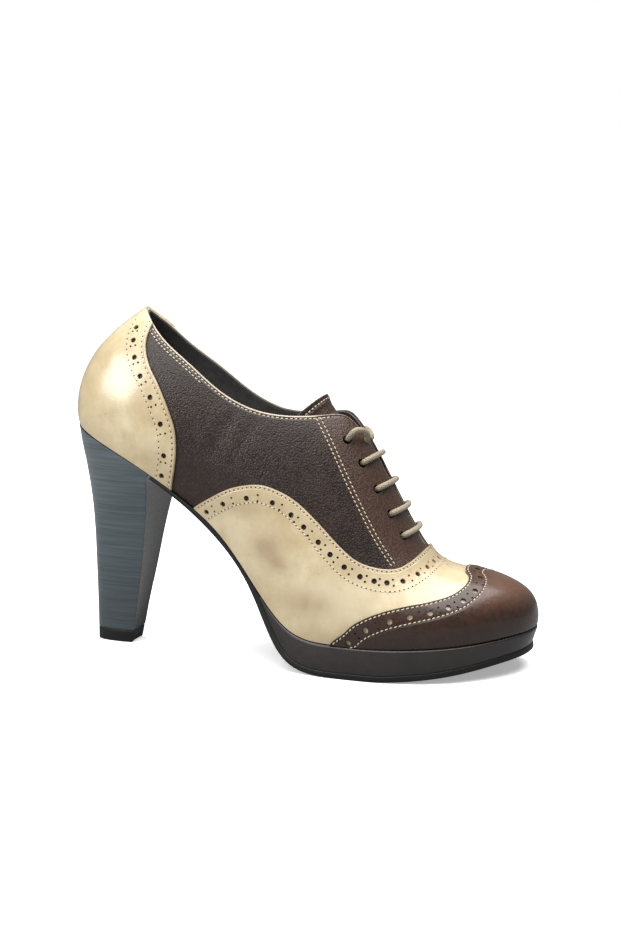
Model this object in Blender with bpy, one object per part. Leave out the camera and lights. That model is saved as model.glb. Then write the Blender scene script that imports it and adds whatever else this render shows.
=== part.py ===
"""Lace-up heeled shoe, right foot: leather upper with vamp, toe cap and heel counter laid over it,
tongue, laces, insole, platform, outsole, stacked heel and top piece.
Toe along +X, outer side at -Y, floor at z = 0. Sizes below are in millimetres."""
import math

import bmesh
import bpy
import numpy as np
from mathutils import Vector

# Driving sizes
mm = 0.001
gap = 0.3
wall = 1.6
panel = 0.9
insole_thick = 2.0
sole_thick = 2.9
platform_start = 6.14
platform_more = 1.8
middle_x = -2.042
middle_y = 0.131

# Last sections from the heel seam to the toe tip: feather line, ridge line, floor side of the
# outsole, half widths at the feather and at the widest place, its height share, bow and middle
section_columns = ("feather_x", "feather_z", "ridge_x", "ridge_z", "floor_x", "floor_z",
                   "feather_half", "widest_half", "widest_at", "bow", "middle")
section_rows = (
    (-109.9, 107.9, -69.4, 165.5, -112.1, 105.2, 0.0, 0.0, 0.22, 11.6, 0.0),
    (-105.6, 105.5, -65.8, 163.7, -107.8, 102.9, 13.4, 15.2, 0.22, 10.9, 0.0),
    (-93.2, 99.5, -54.5, 158.0, -94.8, 97.4, 21.4, 23.8, 0.22, 8.0, 0.0),
    (-75.5, 90.4, -33.8, 147.6, -76.7, 88.8, 24.8, 27.2, 0.24, 4.0, 0.0),
    (-56.0, 77.9, -11.8, 136.9, -57.2, 76.3, 23.8, 27.0, 0.28, 1.5, -0.5),
    (-35.0, 60.6, 12.0, 123.9, -36.8, 58.8, 23.0, 28.0, 0.32, 0.0, -1.0),
    (-16.6, 37.5, 28.5, 106.5, -18.2, 35.0, 25.5, 30.5, 0.33, 0.0, -1.0),
    (1.6, 19.0, 42.1, 81.2, -2.4, 7.4, 31.2, 34.6, 0.30, 0.0, -0.6),
    (22.0, 15.0, 53.6, 59.2, 18.6, 0.0, 35.4, 37.2, 0.26, 0.0, 0.0),
    (43.0, 15.0, 63.0, 47.4, 41.6, 0.0, 36.6, 37.8, 0.24, 0.0, 0.2),
    (63.0, 15.9, 75.0, 43.2, 62.4, 1.9, 34.6, 35.4, 0.22, 0.0, 0.8),
    (79.0, 17.0, 87.2, 40.4, 78.4, 4.4, 29.2, 29.9, 0.22, 0.0, 1.8),
    (92.0, 18.2, 96.8, 36.6, 91.4, 6.8, 20.6, 21.2, 0.22, -0.3, 3.2),
    (101.2, 19.3, 102.3, 32.4, 100.4, 8.4, 11.2, 11.6, 0.22, -0.7, 4.4),
    (104.4, 19.7, 104.3, 29.4, 103.4, 9.0, 0.0, 0.0, 0.22, -0.9, 4.8),
)
turning_columns = ("feather_half", "widest_half")
toe_place = len(section_rows) - 1.0
lower_share = 0.3
skin_rows = 8
column_step = 1.0 / 3.0

# Collar height every collar_step along X; the inner side dips lower, but not at the heel or the throat
collar_start = -82.0
collar_step = 16.0
collar_heights = (163.2, 150.2, 137.0, 124.5, 116.5, 113.8, 114.2, 115.4)
inner_dip = 2.5
dip_end = 5.35
dip_fade = 0.95

# Throat: half gap between the facings, wide from the collar and closing over the vamp
throat_start = 4.6
throat_narrow = 7.0
throat_end = 25.0 / 3.0
throat_wide_half = 6.6
throat_narrow_half = 1.4
corner_round = 2.2

# Eyelets in five pairs and the round lace
eyelet_pairs = 5
eyelet_first = 5.90
eyelet_last = 7.76
eyelet_half = 14.2
eyelet_hole = 3.8
lace_thick = 2.7
lace_sides = 8
lace_lean = 0.09

# Tongue, from above the collar to under the vamp, sagging between the facings: place along the foot,
# half width and depth under the upper's face. Its top edge rises to a point at each side
tongue_thick = 1.6
tongue_across = 8
tongue_horn = 0.10
tongue_rows = (
    (4.98, 19.5, 2.2),
    (5.16, 19.0, 4.6),
    (5.33, 18.5, 5.6),
    (6.00, 17.0, 5.0),
    (7.00, 17.0, 2.8),
    (8.67, 14.0, 2.2),
)

# Side view of the panel edges: X and Z of each turn
vamp_edge = ((-56.0, 60.0), (-47.2, 69.9), (-38.0, 75.8), (-27.0, 81.2), (-15.0, 83.5), (-6.0, 81.9),
             (4.0, 77.0), (14.0, 68.6), (24.0, 58.8), (32.0, 52.4), (40.0, 49.4), (48.0, 48.5),
             (53.0, 50.2), (57.0, 53.2), (62.0, 58.0))
cap_edge = ((17.0, 9.0), (22.0, 16.0), (27.0, 20.2), (33.0, 25.8), (42.0, 30.5), (52.5, 33.7),
            (64.7, 36.0), (72.5, 38.0), (76.6, 40.2), (78.4, 42.0), (78.2, 43.8), (75.6, 45.4),
            (72.0, 49.0))
counter_edge = ((-57.8, 72.0), (-56.4, 80.0), (-54.2, 89.0), (-53.1, 98.0), (-53.8, 107.0),
                (-57.0, 116.0), (-62.4, 127.0), (-67.6, 135.5), (-70.6, 144.0), (-70.4, 151.0),
                (-68.0, 158.0), (-66.0, 163.0))

# Heel from the top piece to the seat: back and front in the side view, half width at the breast
heel_front = 3.42
heel_columns = ("back_x", "back_z", "front_x", "front_z", "half")
heel_rows = (
    (-105.6, 0.0, -85.7, 0.0, 6.6),
    (-105.6, 6.0, -84.5, 6.0, 7.1),
    (-105.6, 20.0, -81.9, 20.0, 8.3),
    (-105.7, 38.0, -78.7, 36.0, 10.4),
    (-105.9, 56.0, -75.8, 53.0, 13.0),
    (-106.7, 72.0, -73.3, 67.0, 16.2),
    (-108.4, 87.0, -71.4, 76.5, 20.0),
    (-110.0, 98.0, -69.9, 81.6, 23.4),
    (-111.1, 107.6, -67.6, 85.4, 25.8),
)

# Leather, rubber and lace colours
brown_leather = ("brown_leather", (0.045, 0.022, 0.014), 0.45)
cream_leather = ("cream_leather", (0.58, 0.46, 0.31), 0.3)
dark_leather = ("dark_leather", (0.028, 0.014, 0.009), 0.35)
lining_leather = ("lining_leather", (0.02, 0.017, 0.015), 0.6)
stacked_heel = ("stacked_heel", (0.035, 0.034, 0.034), 0.35)
black_rubber = ("black_rubber", (0.012, 0.012, 0.012), 0.6)
lace_cord = ("lace_cord", (0.36, 0.29, 0.21), 0.6)


def spline(values, at, sign=1.0):
    """Smooth value between evenly spaced rows, mirrored at both ends so that the outline turns round."""
    pad = 4
    before = [sign * values[k] for k in range(pad, 0, -1)]
    after = [sign * values[-1 - k] for k in range(1, pad + 1)]
    rows = np.array(before + list(values) + after)
    count = len(rows)
    matrix = np.eye(count)
    pull = np.zeros(count)
    for k in range(1, count - 1):
        matrix[k, k - 1:k + 2] = (1.0, 4.0, 1.0)
        pull[k] = 6.0 * (rows[k - 1] - 2.0 * rows[k] + rows[k + 1])
    bend = np.linalg.solve(matrix, pull)
    k = min(max(int(math.floor(at)) + pad, 0), count - 2)
    f = at + pad - k
    e = 1.0 - f
    return e * rows[k] + f * rows[k + 1] + (e ** 3 - e) * bend[k] / 6.0 + (f ** 3 - f) * bend[k + 1] / 6.0


def section(u):
    """Sizes of the last at place u along the foot."""
    sizes = {}
    for k, name in enumerate(section_columns):
        sign = -1.0 if name in turning_columns else 1.0
        sizes[name] = spline([row[k] for row in section_rows], u, sign)
    return sizes


def wall_point(sizes, along, across):
    """Point of a section at a share of its height and a distance from its middle."""
    run = sizes["ridge_x"] - sizes["feather_x"]
    lift = sizes["ridge_z"] - sizes["feather_z"]
    length = math.hypot(run, lift)
    push = sizes["bow"] * math.sin(math.pi * along ** 0.8)
    x = sizes["feather_x"] + run * along - push * lift / length
    z = sizes["feather_z"] + lift * along + push * run / length
    return Vector((x, sizes["middle"] + across, z))


def last_point(sizes, v, side):
    """Outer face of the upper from the feather (v = 0) to the ridge (v = 1)."""
    if v < lower_share:
        rise = v / lower_share
        swell = sizes["widest_half"] - sizes["feather_half"]
        half = sizes["feather_half"] + swell * (1.0 - (1.0 - rise) ** 2)
        along = sizes["widest_at"] * rise
    else:
        turn = 0.5 * math.pi * (v - lower_share) / (1.0 - lower_share)
        half = sizes["widest_half"] * math.cos(turn)
        along = sizes["widest_at"] + (1.0 - sizes["widest_at"]) * math.sin(turn)
    return wall_point(sizes, along, side * half), half


def instep_point(u, across):
    """Outer face above the widest place, by the distance from the middle."""
    sizes = section(u)
    turn = math.acos(min(abs(across) / sizes["widest_half"], 1.0))
    along = sizes["widest_at"] + (1.0 - sizes["widest_at"]) * math.sin(turn)
    return wall_point(sizes, along, across)


def instep_normal(u, across):
    """Outward direction of the instep."""
    step = 0.05
    forward = instep_point(u + step, across) - instep_point(u - step, across)
    inward = instep_point(u, across + step) - instep_point(u, across - step)
    return forward.cross(inward).normalized()


def upward(u, name):
    """Upward direction of the feather or floor line in the side view."""
    ahead = section(min(u + 0.05, toe_place))
    behind = section(max(u - 0.05, 0.0))
    run = Vector((ahead[name + "_x"] - behind[name + "_x"], 0.0, ahead[name + "_z"] - behind[name + "_z"]))
    return Vector((-run.z, 0.0, run.x)).normalized()


def collar_height(x):
    """Height of the collar line in the side view."""
    return spline(collar_heights, (x - collar_start) / collar_step)


def collar_dip(u, side):
    """How far the collar lies under its height, on the inner side alone."""
    if side < 0:
        return 0.0
    return inner_dip * min(max(u, 0.0), 1.0) * min(max((dip_end - u) / dip_fade, 0.0), 1.0)


def throat_half(u):
    """Half gap between the facings."""
    share = min(max((u - 5.4) / (throat_narrow - 5.4), 0.0), 1.0)
    half = throat_wide_half + (throat_narrow_half - throat_wide_half) * share
    closing = min(max((throat_end - u) / (throat_end - throat_narrow), 0.0), 1.0)
    return half * math.sqrt(closing)


def edge_room(u, sizes, v, side):
    """Room left below the collar and beside the throat, rounded at their corner."""
    point, half = last_point(sizes, v, -1.0)
    below = collar_height(point.x) - point.z - collar_dip(u, side)
    if u < throat_start:
        return below
    beside = half - throat_half(u)
    least = min(below, beside)
    spread = math.exp((least - below) / corner_round) + math.exp((least - beside) / corner_round)
    return least - corner_round * math.log(spread)


def edge_of(u, sizes, side):
    """Share of the section at which the collar or throat edge lies."""
    if u >= throat_end - 1e-6:
        return 1.0
    low = lower_share
    high = 1.0
    for _ in range(40):
        half_way = 0.5 * (low + high)
        if edge_room(u, sizes, half_way, side) > 0.0:
            low = half_way
        else:
            high = half_way
    return low


def even_share(sizes, share):
    """Share v at an even share of a section's height, for the toe seam."""
    low = sizes["widest_at"]
    if share < low:
        return lower_share * share / low
    turn = math.asin((share - low) / (1.0 - low))
    return lower_share + (1.0 - lower_share) * turn / (0.5 * math.pi)


def column_places():
    """Places along the foot at which the upper has a column, closer at the collar's corner."""
    places = [k * column_step for k in range(int(round(toe_place / column_step)) + 1)]
    places += [5.0 + (k + 0.5) * column_step for k in range(4)]
    return sorted(places)


def build_skin():
    """Outer face of the upper as points, directions and faces."""
    columns = [(u, section(u)) for u in column_places()]
    last = len(columns) - 1
    net = bmesh.new()
    found = {}

    def corner(side, i, j):
        u, sizes = columns[i]
        closed = u >= throat_end - 1e-6
        shared = i in (0, last) or (closed and j == skin_rows)
        key = (0 if shared else side, i, j)
        if key not in found:
            v = edge_of(u, sizes, side) * j / skin_rows
            if i == last:
                v = even_share(sizes, j / skin_rows)
            found[key] = net.verts.new(last_point(sizes, v, side)[0])
        return found[key]

    for side in (-1, 1):
        for i in range(last):
            for j in range(skin_rows):
                start = corner(side, i, j)
                across = corner(side, i + 1, j + 1)
                halves = ([start, corner(side, i + 1, j), across], [start, across, corner(side, i, j + 1)])
                for ring in halves:
                    if side > 0:
                        ring.reverse()
                    net.faces.new(ring)
    net.verts.index_update()
    net.normal_update()
    points = [v.co.copy() for v in net.verts]
    ways = [v.normal.copy() for v in net.verts]
    for (side, i, j), vert in found.items():
        if j == 0:
            up = upward(columns[i][0], "feather")
            way = ways[vert.index]
            ways[vert.index] = (way - up * way.dot(up)).normalized()
    faces = [[v.index for v in f.verts] for f in net.faces]
    rims = []
    for edge in net.edges:
        if len(edge.link_loops) == 1:
            loop = edge.link_loops[0]
            rims.append((loop.vert.index, loop.link_loop_next.vert.index))
    net.free()
    return points, ways, faces, rims


def add_object(name, points, faces, group, material):
    """Object from points in millimetres, moved so that the origin is under the middle."""
    mesh = bpy.data.meshes.new(name)
    moved = [((p[0] - middle_x) * mm, (p[1] - middle_y) * mm, p[2] * mm) for p in points]
    mesh.from_pydata(moved, [], faces)
    net = bmesh.new()
    net.from_mesh(mesh)
    bmesh.ops.recalc_face_normals(net, faces=net.faces)
    net.to_mesh(mesh)
    net.free()
    for face in mesh.polygons:
        face.use_smooth = True
    mesh.set_sharp_from_angle(angle=math.radians(40.0))
    item = bpy.data.objects.new(name, mesh)
    groups[group].objects.link(item)
    if material:
        mesh.materials.append(materials[material[0]])
    return item


def add_shell(name, low, high, material):
    """Wall of the upper between two distances from its outer face."""
    points, ways, faces, rims = skin
    count = len(points)
    both = [p + w * high for p, w in zip(points, ways)]
    both += [p + w * low for p, w in zip(points, ways)]
    shut = [list(f) for f in faces]
    shut += [[k + count for k in reversed(f)] for f in faces]
    shut += [[b, a, a + count, b + count] for a, b in rims]
    return add_object(name, both, shut, "shoe", material)


def add_cutter(name, outline):
    """Flat side view outline drawn right through the shoe along Y."""
    reach = 70.0
    count = len(outline)
    points = [(x, -reach, z) for x, z in outline] + [(x, reach, z) for x, z in outline]
    faces = [list(range(count)), [k + count for k in reversed(range(count))]]
    for k in range(count):
        after = (k + 1) % count
        faces.append([after, k, k + count, after + count])
    item = add_object(name, points, faces, "cutters", None)
    item.hide_render = True
    item.display_type = "WIRE"
    return item


def cut(item, cutter, operation):
    """Keep or remove what the cutter covers."""
    change = item.modifiers.new(cutter.name, "BOOLEAN")
    change.operation = operation
    change.solver = "EXACT"
    change.object = cutter


def rounded(edge, steps=3):
    """Panel edge with more turns, smooth through its rows."""
    places = [k / steps for k in range((len(edge) - 1) * steps + 1)]
    row = np.arange(len(edge))
    bend = []
    for axis in (0, 1):
        values = [p[axis] for p in edge]
        start = 2.0 * values[0] - values[1]
        finish = 2.0 * values[-1] - values[-2]
        longer = [start] + values + [finish]
        line = []
        for place in places:
            k = min(int(place), len(row) - 2)
            f = place - k
            a, b, c, d = longer[k:k + 4]
            line.append(b + 0.5 * f * (c - a + f * (2.0 * a - 5.0 * b + 4.0 * c - d
                                                    + f * (3.0 * (b - c) + d - a))))
        bend.append(line)
    return list(zip(bend[0], bend[1]))


def feather_outline(u, margin):
    """Feather line points of both sides, moved outward in plan by a margin."""
    sizes = section(u)
    ahead = section(u + 0.02)
    behind = section(u - 0.02)
    run = ahead["feather_x"] - behind["feather_x"]
    spread = ahead["feather_half"] - behind["feather_half"]
    length = math.hypot(run, spread)
    move_x = -margin * spread / length
    move_y = margin * run / length
    half = max(sizes["feather_half"] + move_y, 0.0)
    return sizes, move_x, half


def add_slab(name, columns, material):
    """Body from columns of upper and lower points on the two sides, closed at both ends."""
    points = []
    places = []
    for upper_pair, lower_pair in columns:
        spot = []
        for near, far in (upper_pair, lower_pair):
            spot.append(len(points))
            points.append(near)
            if (Vector(near) - Vector(far)).length > 0.05:
                points.append(far)
            spot.append(len(points) - 1)
        places.append(spot)
    faces = []
    for a, b in zip(places, places[1:]):
        for ring in ((a[0], b[0], b[1], a[1]), (a[3], b[3], b[2], a[2]),
                     (a[2], b[2], b[0], a[0]), (a[1], b[1], b[3], a[3])):
            faces.append(list(dict.fromkeys(ring)))
    for spot in (places[0], places[-1]):
        ring = list(dict.fromkeys((spot[0], spot[1], spot[3], spot[2])))
        if len(ring) > 2:
            faces.append(ring)
    return add_object(name, points, faces, "shoe", material)


def sole_margin(u, more=1.1):
    """How far the sole stands out from the upper's face, past the vamp and then the toe cap."""
    share = min(max((u - 7.0) / 2.0, 0.0), 1.0)
    return 1.4 + more * share


def outsole_point(u, lift, margin):
    """Points on the two sides at a height above the outsole's floor side."""
    sizes, move_x, half = feather_outline(u, margin)
    up = upward(u, "floor")
    x = sizes["floor_x"] + up.x * lift + move_x
    z = max(sizes["floor_z"], 0.0) + up.z * lift
    return (x, sizes["middle"] - half, z), (x, sizes["middle"] + half, z)


def feather_point(u, lift, margin):
    """Points on the two sides at a height above the feather line."""
    sizes, move_x, half = feather_outline(u, margin)
    up = upward(u, "feather")
    x = sizes["feather_x"] + up.x * lift + move_x
    z = sizes["feather_z"] + up.z * lift
    return (x, sizes["middle"] - half, z), (x, sizes["middle"] + half, z)


def add_stack(name, rows, material, seat):
    """Heel body through its rows, each the heel seat's outline drawn to the row's sizes."""
    places = [k * column_step for k in range(int(heel_front / column_step) + 1)] + [heel_front]
    seat_pairs = [feather_point(u, -gap, 1.2) for u in places]
    top = dict(zip(heel_columns, heel_rows[-1]))
    back = seat_pairs[0][0][0]
    front = seat_pairs[-1][0][0]
    rings = []
    for k, row in enumerate(rows):
        size = dict(zip(heel_columns, row))
        ring = []
        for pair in seat_pairs:
            share = (pair[0][0] - back) / (front - back)
            spots = []
            for point in pair:
                x = size["back_x"] + (size["front_x"] - size["back_x"]) * share
                y = point[1] * size["half"] / top["half"]
                z = size["back_z"] + (size["front_z"] - size["back_z"]) * share
                spots.append(point if seat and k == len(rows) - 1 else (x, y, z))
            ring.append(spots)
        rings.append(ring)
    points = []
    order = []
    for ring in rings:
        loop = [pair[0] for pair in reversed(ring)] + [pair[1] for pair in ring[1:]]
        order.append(list(range(len(points), len(points) + len(loop))))
        points += loop
    faces = []
    for low, high in zip(order, order[1:]):
        for k in range(len(low)):
            after = (k + 1) % len(low)
            faces.append([low[k], low[after], high[after], high[k]])
    for loop in (order[0], order[-1]):
        count = len(loop)
        for k in range(count // 2):
            ring = (loop[k], loop[k + 1], loop[count - 2 - k], loop[count - 1 - k])
            faces.append(list(dict.fromkeys(ring)))
    return add_object(name, points, faces, "shoe", material)


def add_tongue(material):
    """Bent sheet under the facings."""
    at, halves, drops = zip(*tongue_rows)
    places = list(at[:3])
    places += [u for u in along_foot if at[2] + 0.1 < u < at[-1] + 0.1]
    points = []
    for depth in (0.0, tongue_thick):
        for place in places:
            half = float(np.interp(place, at, halves))
            drop = float(np.interp(place, at, drops))
            rise = min(max((at[2] - place) / (at[2] - at[0]), 0.0), 1.0)
            for k in range(tongue_across + 1):
                share = 2.0 * k / tongue_across - 1.0
                u = place - tongue_horn * rise * share ** 2
                across = half * share
                points.append(instep_point(u, across) - instep_normal(u, across) * (drop + depth))
    wide = tongue_across + 1
    count = wide * len(places)
    faces = []
    rims = {}
    for i in range(len(places) - 1):
        for k in range(tongue_across):
            a = i * wide + k
            ring = [a, a + 1, a + wide + 1, a + wide]
            faces.append(ring)
            faces.append([p + count for p in reversed(ring)])
            for p, q in zip(ring, ring[1:] + ring[:1]):
                rims[(p, q)] = True
    for p, q in rims:
        if (q, p) not in rims:
            faces.append([q, p, p + count, q + count])
    return add_object("tongue", points, faces, "shoe", material)


def add_tube(name, path, material):
    """Round cord along a path."""
    points = []
    side = (path[1] - path[0]).orthogonal()
    for k, spot in enumerate(path):
        ahead = path[min(k + 1, len(path) - 1)]
        behind = path[max(k - 1, 0)]
        way = (ahead - behind).normalized()
        side = (side - way * side.dot(way)).normalized()
        other = way.cross(side)
        for n in range(lace_sides):
            angle = 2.0 * math.pi * n / lace_sides
            turn = side * math.cos(angle) + other * math.sin(angle)
            points.append(spot + turn * 0.5 * lace_thick)
    faces = []
    for k in range(len(path) - 1):
        for n in range(lace_sides):
            after = (n + 1) % lace_sides
            a = k * lace_sides
            faces.append([a + n, a + after, a + lace_sides + after, a + lace_sides + n])
    faces.append(list(reversed(range(lace_sides))))
    faces.append(list(range(len(points) - lace_sides, len(points))))
    return add_object(name, points, faces, "shoe", material)


def lace_path(u, stops):
    """Lace over the instep: each stop is a distance from the middle and a height over the face.
    It crosses square to the ridge, so it leans forward of the section on its way over."""
    path = []
    for across, height in stops:
        place = u + lace_lean * (1.0 - (across / eyelet_half) ** 2)
        path.append(instep_point(place, across) + instep_normal(place, across) * height)
    return path


def add_eyelet_cutter():
    """Round punches through the facings."""
    sides = 12
    depth = 4.0
    points = []
    faces = []
    for pair in range(eyelet_pairs):
        u = eyelet_place(pair)
        for side in (-1.0, 1.0):
            middle = instep_point(u, side * eyelet_half)
            way = instep_normal(u, side * eyelet_half)
            first = way.orthogonal().normalized()
            second = way.cross(first)
            start = len(points)
            for lift in (-depth, depth):
                for n in range(sides):
                    angle = 2.0 * math.pi * n / sides
                    turn = first * math.cos(angle) + second * math.sin(angle)
                    points.append(middle + way * lift + turn * 0.5 * eyelet_hole)
            for n in range(sides):
                after = (n + 1) % sides
                faces.append([start + n, start + after, start + sides + after, start + sides + n])
            faces.append([start + n for n in reversed(range(sides))])
            faces.append([start + sides + n for n in range(sides)])
    item = add_object("eyelet_punches", points, faces, "cutters", None)
    item.hide_render = True
    item.display_type = "WIRE"
    return item


def eyelet_place(pair):
    """Place along the foot of an eyelet pair, the first nearest the collar."""
    return eyelet_first + (eyelet_last - eyelet_first) * pair / (eyelet_pairs - 1)


for old in list(bpy.data.objects):
    bpy.data.objects.remove(old)

groups = {}
for title, label in (("shoe", "lace_up_heeled_shoe"), ("cutters", "shoe_cutters")):
    groups[title] = bpy.data.collections.new(label)
    bpy.context.scene.collection.children.link(groups[title])

materials = {}
for label, colour, rough in (brown_leather, cream_leather, dark_leather, lining_leather, stacked_heel,
                             black_rubber, lace_cord):
    made = bpy.data.materials.new(label)
    made.use_nodes = True
    surface = made.node_tree.nodes["Principled BSDF"]
    surface.inputs["Base Color"].default_value = (*colour, 1.0)
    surface.inputs["Roughness"].default_value = rough
    materials[label] = made

# Upper with its eyelet holes, and the panels laid over it
skin = build_skin()
upper = add_shell("upper", -wall, 0.0, brown_leather)
cut(upper, add_eyelet_cutter(), "DIFFERENCE")

vamp = add_shell("vamp", gap, gap + panel, cream_leather)
cut(vamp, add_cutter("vamp_outline", rounded(vamp_edge) + [(130.0, 58.0), (130.0, -10.0), (-56.0, -10.0)]),
    "INTERSECT")

cap_low = gap + panel + gap
toe_cap = add_shell("toe_cap", cap_low, cap_low + panel, dark_leather)
cut(toe_cap, add_cutter("cap_outline", rounded(cap_edge) + [(130.0, 70.0), (130.0, -10.0), (17.0, -10.0)]),
    "INTERSECT")

counter = add_shell("heel_counter", gap, gap + panel, cream_leather)
cut(counter, add_cutter("counter_outline", rounded(counter_edge) + [(-140.0, 190.0), (-140.0, 60.0)]),
    "INTERSECT")

# Tongue, insole and sole
along_foot = [k * column_step for k in range(int(round(toe_place / column_step)) + 1)]
add_tongue(brown_leather)
inner = -(wall + gap)
add_slab("insole", [(feather_point(u, insole_thick, inner), feather_point(u, 0.0, inner))
                    for u in along_foot], lining_leather)

sole_places = [heel_front + 0.05] + sorted([platform_start] + [u for u in along_foot if u > heel_front + 0.1])
sole_columns = []
for u in sole_places:
    if u < platform_start:
        face = feather_point(u, -gap, sole_margin(u))
    else:
        face = outsole_point(u, sole_thick, sole_margin(u))
    sole_columns.append((face, outsole_point(u, 0.0, sole_margin(u))))
add_slab("outsole", sole_columns, black_rubber)
add_slab("platform", [(feather_point(u, -gap, sole_margin(u, platform_more)),
                       outsole_point(u, sole_thick + gap, sole_margin(u)))
                      for u in sole_places if u >= platform_start], dark_leather)

# Heel with its top piece
tip_rows = [heel_rows[0], heel_rows[1]]
add_stack("top_piece", tip_rows, black_rubber, False)
lifted = (heel_rows[1][0], heel_rows[1][1] + gap, heel_rows[1][2], heel_rows[1][3] + gap, heel_rows[1][4])
add_stack("heel", [lifted] + list(heel_rows[2:]), stacked_heel, True)

# Lace: a hook over each facing at the top pair, bars across the rest
over = 0.5 * lace_thick + gap + 0.1
bar_shares = [k / 6.0 for k in range(-6, 7)]
for pair in range(eyelet_pairs):
    u = eyelet_place(pair)
    if pair == 0:
        for label, side in (("outer", -1.0), ("inner", 1.0)):
            lip = throat_half(u)
            stops = ((eyelet_half, -0.9), (eyelet_half - 0.2, over - 0.5), (eyelet_half - 2.0, over + 0.5),
                     (0.5 * (eyelet_half + lip), over + 1.6), (lip + 0.4, over + 0.9),
                     (lip - 1.7, over - 0.8), (lip - 2.3, -0.4))
            add_tube("lace_end_" + label, lace_path(u, [(side * t, h) for t, h in stops]), lace_cord)
    else:
        stops = [(eyelet_half * share, over) for share in bar_shares[1:-1]]
        stops = [(-eyelet_half, -0.9), (-eyelet_half + 0.3, over - 0.7)] + stops
        stops = stops + [(eyelet_half - 0.3, over - 0.7), (eyelet_half, -0.9)]
        add_tube("lace_bar_%d" % pair, lace_path(u, stops), lace_cord)
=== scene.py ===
import math

import bmesh
import bpy
import numpy as np
from mathutils import Matrix, Vector
from mathutils.bvhtree import BVHTree
from mathutils.kdtree import KDTree


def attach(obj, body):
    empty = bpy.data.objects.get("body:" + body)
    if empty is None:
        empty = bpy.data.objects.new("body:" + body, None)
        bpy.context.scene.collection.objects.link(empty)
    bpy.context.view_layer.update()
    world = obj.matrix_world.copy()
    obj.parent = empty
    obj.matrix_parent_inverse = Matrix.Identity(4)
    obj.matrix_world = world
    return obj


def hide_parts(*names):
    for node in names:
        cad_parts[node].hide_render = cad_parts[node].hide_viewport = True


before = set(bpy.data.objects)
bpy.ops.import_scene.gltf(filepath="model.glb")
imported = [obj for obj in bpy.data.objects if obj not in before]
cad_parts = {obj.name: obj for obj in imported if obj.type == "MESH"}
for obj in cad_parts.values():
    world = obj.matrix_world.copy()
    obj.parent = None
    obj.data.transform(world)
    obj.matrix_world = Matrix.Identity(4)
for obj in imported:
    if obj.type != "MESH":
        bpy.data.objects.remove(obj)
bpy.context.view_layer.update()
print("frame loaded:", len(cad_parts), "nodes")

# Sizes are in mm on the shoe's drawing: toe along +X, outer side at -Y, floor at z = 0
drawing = {"middleX": -2.042, "middleY": 0.131, "fine": 1.0}
toFrame = Matrix.Scale(0.001, 4) @ Matrix.Translation((-drawing["middleX"], -drawing["middleY"], 0.0))
bothSides = (-1.0, 1.0)  # outer side first


def addObject(name, data):
    made = bpy.data.objects.new(name, data)
    bpy.context.scene.collection.objects.link(made)
    return made


def meshFrom(name, bm):
    mesh = bpy.data.meshes.new(name)
    bm.to_mesh(mesh)
    bm.free()
    return mesh


# Camera at the photograph's angle; the mark is a point of the heel's tip, seen at markPixel
cameraSizes = {"azimuth": 15.5, "elevation": 7.5, "focalPixels": 1250.0, "imageHigh": 931.0,
               "imageWide": 621.0, "sensorMm": 36.0, "clipStart": 0.01, "distance": 607.0,
               "mark": (-86.0, -6.8, 0.0), "markPixel": (131.5, 642.5)}
turnA = math.radians(cameraSizes["azimuth"])
turnE = math.radians(cameraSizes["elevation"])
lookWay = Vector((-math.sin(turnA) * math.cos(turnE), math.cos(turnA) * math.cos(turnE), -math.sin(turnE)))
rightWay = Vector((math.cos(turnA), math.sin(turnA), 0.0))
upWay = rightWay.cross(lookWay)
markRight = (cameraSizes["markPixel"][0] - 0.5 * cameraSizes["imageWide"]) / cameraSizes["focalPixels"]
markUp = (0.5 * cameraSizes["imageHigh"] - cameraSizes["markPixel"][1]) / cameraSizes["focalPixels"]
markWay = lookWay + markRight * rightWay + markUp * upWay
cameraData = bpy.data.cameras.new("camera")
cameraData.sensor_width = cameraSizes["sensorMm"]
cameraData.lens = cameraSizes["sensorMm"] * cameraSizes["focalPixels"] / cameraSizes["imageHigh"]
cameraData.clip_start = cameraSizes["clipStart"]
camera = addObject("camera", cameraData)
camera.location = toFrame @ (Vector(cameraSizes["mark"]) - cameraSizes["distance"] * markWay)
camera.rotation_euler = lookWay.to_track_quat("-Z", "Y").to_euler()
bpy.context.scene.camera = camera

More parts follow.
